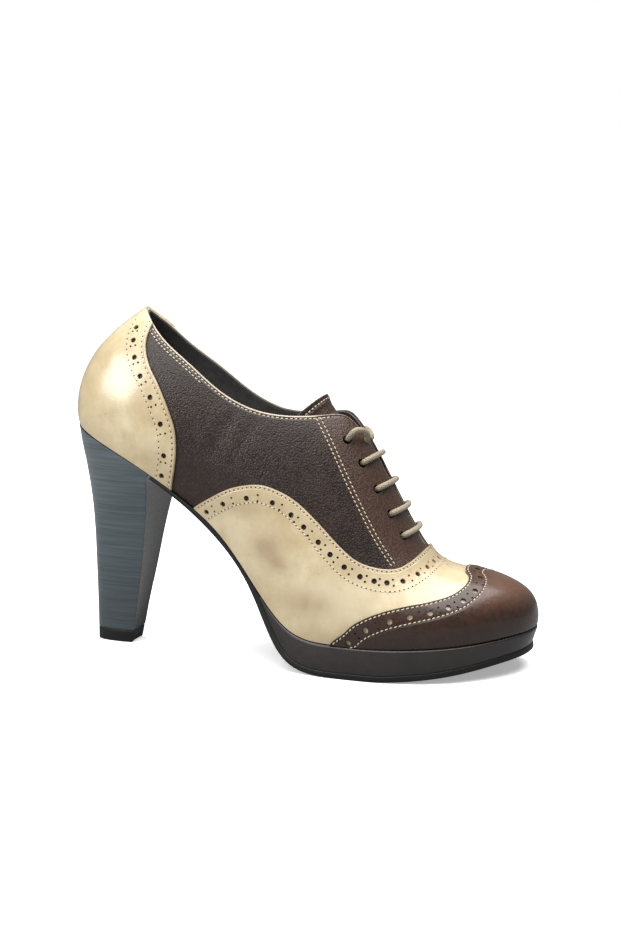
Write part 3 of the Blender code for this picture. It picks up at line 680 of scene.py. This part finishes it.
# the foot range darkens the lifts towards the floor: painted shade
bands, lines, foot = [addNode(tree, "ShaderNodeMapRange", dict(enumerate(ends, 1)), {0: source}).outputs[0]
                      for source, *ends in ((lifts, 0.35, 0.65, 0.0, 1.0),
                                            (streaks, 0.40, 0.60, heelLook["lineDark"], 0.0),
                                            (high, *heelLook["footReach"], heelLook["footShade"], 0.0))]
coatSurface(tree, surface, heelLook, bands, ((lines, heelLook["dark"]), (foot, heelLook["dark"])),
            ((streaks, heelLook["ridgeDeep"], False),))

# Black rubber: moulded, dull, with a fine matt texture
rubberLook = {"grainMm": 0.5, "base": "#0b0b0c", "light": "#131315", "roughLow": 0.38, "roughHigh": 0.6,
              "grainDeep": 0.06}
blackRubber, tree, surface, spot = startMaterial("moulded_black_rubber", {"IOR": 1.4})
matt = addNode(tree, "ShaderNodeTexNoise", {"Scale": 1000.0 / rubberLook["grainMm"], "Detail": 3.0},
               {"Vector": spot}).outputs["Fac"]
dull = addNode(tree, "ShaderNodeMapRange", {1: 0.3, 2: 0.7, 3: rubberLook["roughLow"],
                                            4: rubberLook["roughHigh"]}, {0: matt})
tree.links.new(dull.outputs[0], surface.inputs["Roughness"])
coatSurface(tree, surface, rubberLook, matt, (), ((matt, rubberLook["grainDeep"], False),))

# Round waxed cotton lace: braided, drawn a little coarser than real so that the braid shows
laceLook = {"base": "#7d7060", "light": "#a3967f", "around": 5.0, "pitchMm": 2.2, "braidDeep": 0.18}
laceCotton, tree, surface, spot = startMaterial("waxed_cotton_braid", {
    "IOR": 1.45, "Roughness": 0.55, "Sheen Weight": 0.2, "Sheen Roughness": 0.4})
strip = addNode(tree, "ShaderNodeUVMap", {"uv_map": "braid"}).outputs[0]
mirror = addNode(tree, "ShaderNodeMapping", {"Scale": (1.0, -1.0, 1.0)}, {"Vector": strip}).outputs[0]
twill = {"Scale": 1.0, "bands_direction": "DIAGONAL", "Distortion": 0.3}
left, right = [addNode(tree, "ShaderNodeTexWave", twill, {"Vector": way}).outputs["Fac"]
               for way in (strip, mirror)]
weave = addNode(tree, "ShaderNodeMath", {"operation": "MAXIMUM"}, {0: left, 1: right}).outputs[0]
coatSurface(tree, surface, laceLook, weave, (), ((weave, laceLook["braidDeep"], False),))

# Cream linen thread: waxed and twisted, each stitch a small bright grain
threadLook = {"twistMm": 0.35, "base": "#bbab8e", "light": "#e0d4bb", "twistDeep": 0.06}
linenThread, tree, surface, spot = startMaterial("waxed_linen_thread", {"IOR": 1.5, "Roughness": 0.5})
twist = addNode(tree, "ShaderNodeTexNoise", {"Scale": 1000.0 / threadLook["twistMm"], "Detail": 2.0},
                {"Vector": spot}).outputs["Fac"]
coatSurface(tree, surface, threadLook, twist, (), ((twist, threadLook["twistDeep"], False),))

# Needle holes: painted shade, a dark bead sunk at each hole stands in for the shadow inside it
needleShade = startMaterial("needle_hole_shadow", {"Base Color": tint("#241a13"), "Roughness": 0.8})[0]
print("materials ready")

# Quarters: the brown upper from heel seam to toe, with the facings and their eyelets
quarterSizes = {"columns": 250, "rows": 56, "lift": 0.0, "thick": 1.0, "round": 0.35,
                "spacing": ((0.0, 0.0), (0.8, 8.6), (1.0, 14.0)), "edgeSamples": 700, "linePitch": 1.5,
                "sewn": ((1.4, 5.35), (2.9, 3.3)),
                "facing": ((9.9, 112.8), (17.1, 100.4), (26.6, 82.0), (36.0, 64.9), (42.0, 55.5),
                           (46.7, 49.2)),
                "facingSteps": 12, "facingApart": 1.9, "facingSoft": 1.0, "facingFoot": 45.0,
                "facingCut": 0.4, "castFrom": 90.0, "eyelets": 5, "eyeletFirst": 5.90, "eyeletLast": 7.76,
                "eyeletHalf": 14.2, "eyeletAcross": 4.3}


def quarterPlace(a, b, side):
    u = np.interp(a, *zip(*quarterSizes["spacing"]))
    return u, b * edgeShare(u, side)


quarterBm = skinSheet(quarterSizes, quarterPlace)
quarterTree = BVHTree.FromBMesh(quarterBm)
uEdge = np.linspace(0.0, topEdge["throatEnd"], quarterSizes["edgeSamples"])
topLines = [facePoint(uEdge, edgeShare(uEdge, side), side, quarterSizes["lift"]) for side in bothSides]
uEyelets = np.linspace(quarterSizes["eyeletFirst"], quarterSizes["eyeletLast"], quarterSizes["eyelets"])
eyelets = np.vstack([instepPoint(uEyelets, side * quarterSizes["eyeletHalf"] * np.ones(len(uEyelets)), 0.0)
                     for side in bothSides])


def withEyelets(shell):
    across = quarterSizes["eyeletAcross"]
    return cutBy(shell, punchHoles(quarterTree, eyelets, across, panelSizes["eyeletSides"]))


quarterShell = withEyelets(closePanel(quarterBm, quarterSizes))
facingLine = smoothLine(quarterSizes["facing"], quarterSizes["facingSteps"])
topFar = distanceTo(topLines)


def facingMask(points):
    # the facings in front of their seam are smoother
    ahead = points[:, 0] - np.interp(points[:, 2], facingLine[::-1, 1], facingLine[::-1, 0])
    soft = quarterSizes["facingSoft"]
    return ramp(ahead, -soft, 2.0 * soft, 1.0) * (points[:, 2] > quarterSizes["facingFoot"])


def quarterEdge(points):
    # the facings' cut edge shows less of the raw leather
    return topFar(points) + quarterSizes["facingCut"] * facingMask(points)


finishPiece("quarters", quarterShell, [brownLeather], ["upper"],
            {"edgeMm": quarterEdge, "smooth": facingMask})
for side, line in zip(bothSides, topLines):
    for inset, end in quarterSizes["sewn"]:
        collar = spacedAlong(line[uEdge < end], quarterSizes["linePitch"], True)
        sewAlong(quarterTree, insetLine(quarterTree, collar, side, inset))
    castFrom = side * quarterSizes["castFrom"]
    inWay = Vector((0.0, -side, 0.0))
    hits = [quarterTree.ray_cast(Vector((x, castFrom, z)), inWay)[0] for x, z in facingLine]
    seam = np.array([hit for hit in hits if hit is not None])
    sewAlong(quarterTree, seam)
    seam = spacedAlong(seam, quarterSizes["linePitch"], True)
    sewAlong(quarterTree, insetLine(quarterTree, seam, -side, quarterSizes["facingApart"]))
print("quarters sewn")

# Lining: inner wall of the upper
liningSizes = {"columns": 150, "rows": 30, "lift": -1.03, "thick": 0.57, "round": 0.2, "weld": 0.08}
liningBm = withEyelets(closePanel(skinSheet(liningSizes, quarterPlace, liningSizes["weld"]), liningSizes))
finishPiece("lining", liningBm, [liningLeather])

# Vamp: cream panel over the forefoot, its edge sweeping up from the waist and over the instep
vampSizes = {"edge": ((-56.0, 60.0), (-47.2, 69.9), (-38.0, 75.8), (-27.0, 81.2), (-15.0, 83.5), (-6.0, 81.9),
                      (4.0, 77.0), (14.0, 68.6), (24.0, 58.8), (32.0, 52.4), (40.0, 49.4), (48.0, 48.5),
                      (53.0, 50.2), (57.0, 53.2), (62.0, 58.0)),
             "lift": 1.2, "thick": 1.15, "round": 0.4, "columns": 190, "rows": 72,
             "spacing": (0.0, 0.50, 0.64, 1.0), "waistEnd": 8.15, "least": 0.004, "whole": 0.9995,
             "samples": 900,
             "holes": (4.6, 15.0, 29.0, 44.8, 56.6, 65.0, 74.6, 81.8, 89.4, 95.8, 101.2, 105.8, 111.0, 117.8,
                       125.0, 132.8),
             "holeInset": ((0.0, 4.7), (30.0, 5.8), (60.0, 6.0), (90.0, 5.3), (105.0, 6.0), (140.0, 6.8)),
             "holeAcross": 2.5, "pinAcross": 1.05, "pinApart": 2.7, "pinShare": 0.42, "stitch": 2.1,
             "sewn": (((0.0, 1.25),), ((70.0, 8.0), (105.0, 10.2))),
             "clouds": ((-8.5, 56.0, 9.0, 7.0, 0.85), (-3.5, 48.0, 6.0, 4.5, 0.6),
                        (12.0, 33.0, 14.0, 6.5, 0.9), (-20.0, 72.5, 12.0, 3.5, 0.6)),
             "worn": ((22.0, 36.0, 15.0, 10.0, 0.65), (-26.0, 62.0, 8.0, 9.0, 0.4)),
             "foot": (17.0, 6.0), "footStart": (-10.0, 20.0, 0.35), "border": (9.2, -1.6, 0.28)}
vampCurve = smoothLine(vampSizes["edge"], panelSizes["curveSteps"])


def underVamp(v):
    p = facePoint(uTable, v, -1.0, vampSizes["lift"])
    return p[:, 2] < np.interp(p[:, 0], vampCurve[:, 0], vampCurve[:, 1], left=-10.0)


vampTable = halving(underVamp, 0.0 * ones, ones)
vampTable[vampTable > vampSizes["whole"]] = 1.0
vampStart = uTable[np.argmax(vampTable > vampSizes["least"])]
vampClose = uTable[np.argmax(vampTable > vampSizes["whole"])]


def vampPlace(a, b, side):
    u = np.interp(a, vampSizes["spacing"], (vampStart, vampSizes["waistEnd"], vampClose, lastSizes["toe"]))
    return u, b * np.interp(u, uTable, vampTable)


uVamp = np.linspace(vampStart, vampClose, vampSizes["samples"])
vampLine = overRidge([facePoint(uVamp, np.interp(uVamp, uTable, vampTable), side, vampSizes["lift"])
                      for side in bothSides])
vampShell = broguePanel(vampSizes, vampPlace, [(vampLine, -1.0)], True)
vampFar = distanceTo([vampLine])


def vampShade(points):
    # tan clouds, a darker line along the feather and a darker border
    height, spread = vampSizes["foot"]
    foot = np.exp(-((points[:, 2] - height) / spread) ** 2) * ramp(points[:, 0], *vampSizes["footStart"])
    border = ramp(vampFar(points), *vampSizes["border"])
    return np.clip(foot + border + patches(points, vampSizes["clouds"]), 0.0, 1.0)


def vampPalePatches(points):
    # paler in two soft patches
    return patches(points, vampSizes["worn"])


finishPiece("vampPanel", vampShell, [creamLeather], ["vamp"],
            {"edgeMm": vampFar, "smooth": vampPalePatches, "shade": vampShade})

# Toe cap: dark brown winged cap over the vamp
capSizes = {"edge": ((17.0, 9.0), (22.0, 16.0), (27.0, 20.2), (33.0, 25.8), (42.0, 30.5), (52.5, 33.7),
                     (64.7, 36.0), (72.5, 38.0), (76.6, 40.2), (78.4, 42.0), (78.2, 43.8), (75.6, 45.4),
                     (72.0, 49.0)),
            "lift": 2.4, "thick": 1.15, "round": 0.4, "columns": 110, "rows": 84, "uLow": 7.0, "uHigh": 12.5,
            "holes": (7.9, 19.3, 31.6, 40.8, 49.5, 57.2, 63.6, 70.8, 79.8),
            "holeInset": ((0.0, 4.6), (90.0, 5.2)), "holeAcross": 2.6, "pinAcross": 1.0,
            "pinApart": 2.7, "pinShare": 0.5, "stitch": 2.1, "sewn": (((0.0, 0.95),), ((0.0, 7.7),)),
            # foot darkens the cap low down as painted shade; crown and front make its painted highlight
            "foot": (35.0, -12.0, 0.95), "crown": (30.0, 7.0, 0.6), "front": (80.0, 10.0, 1.0)}
capCurve = smoothLine(capSizes["edge"], panelSizes["curveSteps"])
vTable = np.linspace(0.0, 1.0, 401)
vOnes = np.ones_like(vTable)


def behindCap(u):
    p = facePoint(u, vTable, -1.0, capSizes["lift"])
    return p[:, 0] < np.interp(p[:, 2], capCurve[:, 1], capCurve[:, 0])


capTable = halving(behindCap, capSizes["uLow"] * vOnes, capSizes["uHigh"] * vOnes)


def capPlace(a, b, side):
    start = np.interp(b, vTable, capTable)
    return start + (lastSizes["toe"] - start) * a, b


capLine = overRidge([facePoint(capTable, vTable, side, capSizes["lift"]) for side in bothSides])
capShell = broguePanel(capSizes, capPlace, [(capLine, -1.0)], True)


def capPaintedShade(points):
    # painted shade: darker low along the feather, where the sides face away from the light
    return ramp(points[:, 2], *capSizes["foot"])


def capPaintedHighlight(points):
    # painted highlight: warmer and lighter on the crown, where the top faces the light
    return ramp(points[:, 2], *capSizes["crown"]) * ramp(points[:, 0], *capSizes["front"])


# the cap's lighter crown is a painted highlight and its darker low sides are painted shade
finishPiece("toeCap", capShell, [capLeather], ["toe_cap"],
            {"edgeMm": distanceTo([capLine]), "smooth": capPaintedHighlight, "shade": capPaintedShade})

# Heel counter: cream panel round the back, up to the collar
counterSizes = {"edge": ((-57.8, 72.0), (-56.4, 80.0), (-54.2, 89.0), (-53.1, 98.0), (-53.8, 107.0),
                         (-57.0, 116.0), (-62.4, 127.0), (-67.6, 135.5), (-70.6, 144.0), (-70.4, 151.0),
                         (-68.0, 158.0), (-66.0, 163.0)),
                "lift": 1.2, "thick": 1.15, "round": 0.4, "columns": 90, "rows": 84, "uHigh": 5.0,
                "holes": (5.7, 16.3, 33.6, 47.5, 59.0, 67.4, 74.4, 80.0),
                "holeInset": ((0.0, 5.6), (68.0, 5.8), (75.0, 6.4), (84.0, 7.8)),
                "holeAcross": 2.6, "pinAcross": 1.1, "pinApart": 2.4, "pinShare": 0.68, "stitch": 2.7,
                "sewn": (((0.0, 1.3), (50.0, 1.7)), ((60.0, 8.0), (84.0, 10.5))), "foot": (96.0, -18.0, 0.6)}
counterCurve = smoothLine(counterSizes["edge"], panelSizes["curveSteps"])


def counterPoint(u, side):
    return facePoint(u, vTable * edgeShare(u, side), side, counterSizes["lift"])


def behindCounter(u, side):
    p = counterPoint(u, side)
    return p[:, 0] < np.interp(p[:, 2], counterCurve[:, 1], counterCurve[:, 0])


counterTables = {side: halving(lambda u: behindCounter(u, side), 0.0 * vOnes, counterSizes["uHigh"] * vOnes)
                 for side in bothSides}


def counterPlace(a, b, side):
    u = a * np.interp(b, vTable, counterTables[side])
    return u, b * edgeShare(u, side)


counterLines = [spacedAlong(counterPoint(counterTables[side], side), panelSizes["linePitch"], True)
                for side in bothSides]
counterShell = broguePanel(counterSizes, counterPlace, zip(counterLines, (1.0, -1.0)), False)


def counterShade(points):
    # darker toward the heel's seat
    return ramp(points[:, 2], *counterSizes["foot"])


finishPiece("heelCounter", counterShell, [creamLeather], ["heel_counter"],
            {"edgeMm": distanceTo(counterLines), "shade": counterShade})
print("panels ready")

# Tongue: stiff brown sheet under the facings, standing above the collar
tongueSizes = {"places": (4.98, 5.16, 5.33, 6.00, 7.00, 8.67), "halves": (19.5, 19.0, 18.5, 17.0, 17.0, 14.0),
               "drops": (2.2, 4.6, 5.6, 5.0, 2.8, 2.2), "thick": 1.6, "round": 0.5, "columns": 90, "rows": 44,
               "crowd": 1.4, "horn": 0.10, "seam": 0.07, "seamHalf": 0.9, "seamSteps": 60, "smooth": 0.6,
               "edgeMore": 1.0}


def tonguePoint(u, share):
    # the top edge rises to a point at each side
    first, _, collar = tongueSizes["places"][:3]
    half = np.interp(u, tongueSizes["places"], tongueSizes["halves"])
    drop = np.interp(u, tongueSizes["places"], tongueSizes["drops"])
    rise = np.clip((collar - u) / (collar - first), 0.0, 1.0)
    return instepPoint(u - tongueSizes["horn"] * rise * share ** 2, half * share, -drop)


tongueBm = bmesh.new()
made, a, b = gridSheet(tongueBm, tongueSizes["columns"], tongueSizes["rows"])
tongueTip, tongueFoot = tongueSizes["places"][0], tongueSizes["places"][-1]
placeVerts(made, tonguePoint(tongueTip + (tongueFoot - tongueTip) * a ** tongueSizes["crowd"], 2.0 * b - 1.0))
bmesh.ops.recalc_face_normals(tongueBm, faces=tongueBm.faces)
tongueBm.normal_update()
if sum(face.normal.z for face in tongueBm.faces) < 0.0:
    bmesh.ops.reverse_faces(tongueBm, faces=tongueBm.faces)
    tongueBm.normal_update()
tongueTree = BVHTree.FromBMesh(tongueBm)
across = np.linspace(-tongueSizes["seamHalf"], tongueSizes["seamHalf"], tongueSizes["seamSteps"])
tongueTop = tonguePoint(tongueTip + tongueSizes["seam"] + 0.0 * across, across)
tongueShell = closePanel(tongueBm, tongueSizes)
sewAlong(tongueTree, tongueTop)
tongueFar = distanceTo([tongueTop])
finishPiece("tongueSheet", tongueShell, [brownLeather], ["tongue"],
            {"edgeMm": lambda points: tongueSizes["edgeMore"] + tongueFar(points),
             "smooth": lambda points: np.full(len(points), tongueSizes["smooth"])})

# Lace: bars across the lower four pairs, each through its eyelets; the top ends hook over the facings
laceSizes = {"across": 2.6, "lean": 0.09, "sides": 16, "farLow": 0.25, "ends": (0.72, 0.95), "curveSteps": 10,
             "pitch": 0.7, "weld": 0.01,
             "bar": ((0.93, -2.4), (0.925, -1.0), (0.91, 0.3), (0.87, 1.2), (0.75, 1.60), (0.40, 1.52),
                     (0.0, 1.45)),
             "hook": ((0.94, -2.4, 0.0), (0.94, -0.4, 0.0), (0.935, 1.8, -0.01), (0.89, 3.6, -0.02),
                      (0.82, 4.6, -0.01), (0.73, 4.8, 0.03), (0.63, 4.5, 0.08), (0.52, 3.6, 0.15),
                      (0.43, 2.1, 0.21), (0.39, 0.3, 0.25), (0.40, -1.8, 0.27))}
laceBm = bmesh.new()
braid = laceBm.loops.layers.uv.new("braid")


def layCord(path):
    path = spacedAlong(smoothLine(path, laceSizes["curveSteps"]), laceSizes["pitch"], True)
    last = len(path) - 1
    turns = []
    for way in np.gradient(path, axis=0):
        way = Vector(way).normalized()
        first = turns[-1][0] if turns else way.orthogonal()
        first = (first - way * first.dot(way)).normalized()
        turns.append((first, way.cross(first)))
    made, a, b = gridSheet(laceBm, last, laceSizes["sides"])
    rounds = max(round(runOf(path)[-1] / laceLook["pitchMm"]), 1)
    for face in facesOf(made):
        for loop in face.loops:
            loop[braid].uv = ((loop.vert.co[0] + 0.5) * rounds, (loop.vert.co[1] + 0.5) * laceLook["around"])
    for vert, along, angle in zip(made, a, 2.0 * math.pi * b):
        k = int(round(along * last))
        first, second = turns[k]
        fromEnd = min(k, last - k)
        radius = 0.5 * laceSizes["across"] * (laceSizes["ends"] + (1.0,))[min(fromEnd, 2)]
        vert.co = Vector(path[k]) + radius * (first * math.cos(angle) + second * math.sin(angle))


share, height, forward = np.array(laceSizes["hook"]).T
for side, low in zip(bothSides, (1.0, laceSizes["farLow"])):  # the far hook lies flatter
    layCord(instepPoint(uEyelets[0] + forward, side * share * quarterSizes["eyeletHalf"],
                        np.where(height > 0.0, low, 1.0) * height))
share, height = np.array(laceSizes["bar"]).T
share = np.concatenate((-share, share[-2::-1]))
height = np.concatenate((height, height[-2::-1]))
for u in uEyelets[1:]:
    forward = laceSizes["lean"] * (1.0 - share ** 2)
    layCord(instepPoint(u + forward, share * quarterSizes["eyeletHalf"], height))
closeUp(laceBm, laceSizes["weld"])
finishPiece("lace", laceBm, [laceCotton],
            ["lace_bar_1", "lace_bar_2", "lace_bar_3", "lace_bar_4", "lace_end_outer", "lace_end_inner"],
            sharp=60.0)

# Sole: insole, platform and outsole drawn round the feather line
soleSizes = {"gap": 0.3, "platformStart": 6.14, "heelFront": 3.42, "thick": 2.9, "margin": 1.4,
             "marginMore": 1.1, "marginFrom": 7.0, "marginReach": 2.0, "ledge": 4.0, "arcSteps": 5,
             "step": 0.02, "weld": 0.02, "thinnest": 0.01}
insoleSizes = {"inset": -1.7, "thick": 2.0, "roundTop": 0.5, "roundFoot": 0.1, "start": 0.0, "columns": 160}
platformSizes = {"roundTop": 1.1, "roundFoot": 0.5, "topMore": 1.8, "start": soleSizes["platformStart"],
                 "columns": 220}
outsoleSizes = {"roundTop": 0.6, "roundFoot": 0.6, "start": soleSizes["heelFront"] + 0.05, "columns": 260}


def soleMargin(u, more=soleSizes["marginMore"]):
    return soleSizes["margin"] + ramp(u, soleSizes["marginFrom"], soleSizes["marginReach"], more)


def outline(u, margin, line, lift):
    # outer side points at a height over the feather or floor line, with the outward way in plan
    s, ahead, behind = sizesAt(u), sizesAt(u + soleSizes["step"]), sizesAt(u - soleSizes["step"])
    run, spread = ahead["featherX"] - behind["featherX"], ahead["featherHalf"] - behind["featherHalf"]
    length = np.hypot(run, spread)
    up = upFrom(line, u)
    x = s[line + "X"] + up[:, 0] * lift - margin * spread / length
    z = (np.maximum(s["floorZ"], 0.0) if line == "floor" else s["featherZ"]) + up[:, 2] * lift
    half = np.maximum(s["featherHalf"] + margin * run / length, 0.0)
    return np.stack((x, half, z), -1), np.stack((-spread / length, run / length, 0.0 * run), -1), s["middleY"]


def soleBody(sizes, high, low):
    # half a section, from the middle over both rounded edges and back, swept to the toe, then the other half
    arc = np.linspace(0.0, 0.5 * np.pi, soleSizes["arcSteps"])
    top, foot = sizes["roundTop"], sizes["roundFoot"]
    ledge = np.full(2, soleSizes["ledge"])
    near, far = 1.0 - np.sin(arc), 1.0 - np.cos(arc)
    inset = np.concatenate((ledge, top * near, foot * far, ledge))
    fromFace = np.concatenate((0.0 * ledge, top * far, foot * near, 0.0 * ledge))
    lastRow = len(inset) - 1
    bm = bmesh.new()
    for side in bothSides:
        made, a, b = gridSheet(bm, sizes["columns"], lastRow)
        u = sizes["start"] + (lastSizes["toe"] - sizes["start"]) * np.sin(0.5 * np.pi * a)
        row = np.round(b * lastRow).astype(int)
        upper, way, middle = high(u)
        lower = low(u)[0]
        tall = np.linalg.norm(upper - lower, axis=1)
        share = np.minimum(fromFace[row], 0.5 * tall) / tall
        share = np.where(row > lastRow // 2, share, 1.0 - share)
        points = lower + (upper - lower) * share[:, None] - way * inset[row][:, None]
        half = np.where((row == 0) | (row == lastRow), 0.0, np.maximum(points[:, 1], 0.0))
        points[:, 1] = middle + side * half
        placeVerts(made, points)
    closeUp(bm, soleSizes["weld"], soleSizes["thinnest"])
    return bm


def insoleFace(lift):
    return lambda u: outline(u, insoleSizes["inset"], "feather", lift)


def platformTop(u):
    return outline(u, soleMargin(u, platformSizes["topMore"]), "feather", -soleSizes["gap"])


def outsoleFace(lift):
    return lambda u: outline(u, soleMargin(u), "floor", lift)


def outsoleTop(u):
    waist = outline(u, soleMargin(u), "feather", -soleSizes["gap"])[0]
    front, way, middle = outsoleFace(soleSizes["thick"])(u)
    return np.where((u < soleSizes["platformStart"])[:, None], waist, front), way, middle


insoleBm = soleBody(insoleSizes, insoleFace(insoleSizes["thick"]), insoleFace(0.0))
finishPiece("sockInsole", insoleBm, [liningLeather], ["insole"])
platformBm = soleBody(platformSizes, platformTop, outsoleFace(soleSizes["thick"]))
finishPiece("platformWrap", platformBm, [wrapLeather], ["platform"])
outsoleBm = soleBody(outsoleSizes, outsoleTop, outsoleFace(0.0))
finishPiece("outsoleTread", outsoleBm, [blackRubber], ["outsole"])

# Heel: stacked lifts from the top piece to the seat, with a polished breast
# Its rows are back x and z, front x and z, and half width
heelSizes = {"rows": ((-105.6, 0.0, -85.7, 0.0, 6.6), (-105.6, 6.0, -84.5, 6.0, 7.1),
                      (-105.6, 20.0, -81.9, 20.0, 8.3), (-105.7, 38.0, -78.7, 36.0, 10.4),
                      (-105.9, 56.0, -75.8, 53.0, 13.0), (-106.7, 72.0, -73.3, 67.0, 16.2),
                      (-108.4, 87.0, -71.4, 76.5, 20.0), (-110.0, 98.0, -69.9, 81.6, 23.4),
                      (-111.1, 107.6, -67.6, 85.4, 25.8)),
             "rowSteps": 40, "seatMargin": 1.2, "seatFrom": 7.0, "round": 0.55, "roundSteps": 3,
             "roundAngle": 45.0, "around": 60, "wallShare": 0.8, "breastDish": 0.5, "breastFacing": 0.86,
             "weld": 0.03, "stack": (1.02, 8.0, 60), "tip": (0.0, 1.0, 6)}


def heelBody(rowStart, rowEnd, lifts, seat):
    # round the wall to the breast and in to the middle, then the other half; seat fits the top to the last
    steps = heelSizes["rowSteps"]
    rows = smoothLine(heelSizes["rows"], steps)
    wall = heelSizes["wallShare"]
    ends = np.array([0.0, soleSizes["heelFront"]])
    rear, front = outline(ends, heelSizes["seatMargin"], "feather", 0.0)[0][:, 0]
    bm = bmesh.new()
    for side in bothSides:
        made, a, b = gridSheet(bm, heelSizes["around"], lifts)
        u = soleSizes["heelFront"] * np.minimum(a / wall, 1.0)
        inner = np.clip((1.0 - a) / (1.0 - wall), 0.0, 1.0)  # breast, to the middle
        points = outline(u, heelSizes["seatMargin"], "feather", -soleSizes["gap"])[0]
        share = (points[:, 0] - rear) / (front - rear)
        at = (rowStart + (rowEnd - rowStart) * b) * steps
        backX, backZ, frontX, frontZ, half = readAlong(at, np.arange(len(rows)), rows).T
        body = np.stack((backX + (frontX - backX) * share, points[:, 1] * half / heelSizes["rows"][-1][4],
                         backZ + (frontZ - backZ) * share), -1)
        blend = ramp(at / steps, heelSizes["seatFrom"], 1.0, 1.0 if seat else 0.0)[:, None]
        points = body * (1.0 - blend) + points * blend
        points[:, 1] = side * points[:, 1] * inner
        points[:, 0] -= heelSizes["breastDish"] * (1.0 - inner ** 2)
        placeVerts(made, points)
    closeUp(bm, heelSizes["weld"])
    return changed(bm, rounding(heelSizes["round"], heelSizes["roundSteps"], heelSizes["roundAngle"]))


heelBm = heelBody(*heelSizes["stack"], True)
heelBm.normal_update()
for face in heelBm.faces:
    if face.normal.x > heelSizes["breastFacing"]:
        face.material_index = 1
finishPiece("heelStack", heelBm, [stackedHeel, breastLeather], ["heel"])
finishPiece("topPiece", heelBody(*heelSizes["tip"], False), [blackRubber], ["top_piece"])
print("sole and heel ready")

finishPiece("stitching", threadBm, [linenThread], sharp=80.0)
finishPiece("needleHoleShadows", needleBm, [needleShade], sharp=80.0)

# Floor and soft studio light, in m; lamps as name, place, aim, width and power
lightSizes = {"floorWide": 12.0, "world": 0.27, "floorGlow": (0.2, 0.9, 0.35, 0.8), "floorUnseen": "#8c8c8c",
              "floorSeen": "#f4f4f4", "white": "#ffffff",
              "lamps": (("overhead", (0.1, 0.0, 1.2), (0.02, 0.0, 0.05), 1.5, 34.0),
                        ("keyLeft", (-0.86, -0.84, 0.60), (-0.08, 0.0, 0.12), 0.5, 8.5),
                        ("frontTop", (-0.10, -0.83, 1.0), (0.0, 0.0, 0.07), 0.8, 5.5))}
floorBm = bmesh.new()
bmesh.ops.create_grid(floorBm, x_segments=2, y_segments=2, size=0.5 * lightSizes["floorWide"])
floor = addObject("floor", meshFrom("floor", floorBm))
# White paper: matt, bright to the eye, yet little of it shines back on the shoe
paper, tree, surface, spot = startMaterial("white_paper_sweep", {
    "Roughness": 0.9, "Emission Color": tint(lightSizes["white"])})
seen = addNode(tree, "ShaderNodeLightPath").outputs["Is Camera Ray"]
far = addNode(tree, "ShaderNodeVectorMath", {"operation": "LENGTH"}, {0: spot}).outputs["Value"]
glow = addNode(tree, "ShaderNodeMapRange", dict(enumerate(lightSizes["floorGlow"], 1)), {0: far})
glow = addNode(tree, "ShaderNodeMath", {"operation": "MULTIPLY"}, {0: glow.outputs[0], 1: seen})
tree.links.new(glow.outputs[0], surface.inputs["Emission Strength"])
colour = addNode(tree, "ShaderNodeMix", {"data_type": "RGBA", 6: tint(lightSizes["floorUnseen"]),
                                         7: tint(lightSizes["floorSeen"])}, {0: seen})
tree.links.new(colour.outputs[2], surface.inputs["Base Color"])
floor.data.materials.append(paper)
world = bpy.data.worlds.new("studio")
world.use_nodes = True
backdrop = world.node_tree.nodes["Background"]
backdrop.inputs["Color"].default_value = tint(lightSizes["white"])
seen = addNode(world.node_tree, "ShaderNodeLightPath").outputs["Is Camera Ray"]
glow = addNode(world.node_tree, "ShaderNodeMapRange", {3: lightSizes["world"], 4: 1.0}, {0: seen})
world.node_tree.links.new(glow.outputs[0], backdrop.inputs["Strength"])
bpy.context.scene.world = world
for name, place, aim, wide, power in lightSizes["lamps"]:
    lampData = bpy.data.lights.new(name, "AREA")
    lampData.size = wide
    lampData.energy = power
    lamp = addObject(name, lampData)
    lamp.location = place
    lamp.rotation_euler = (Vector(aim) - Vector(place)).to_track_quat("-Z", "Y").to_euler()
bpy.context.scene.view_settings.view_transform = "Standard"
print("stage ready")
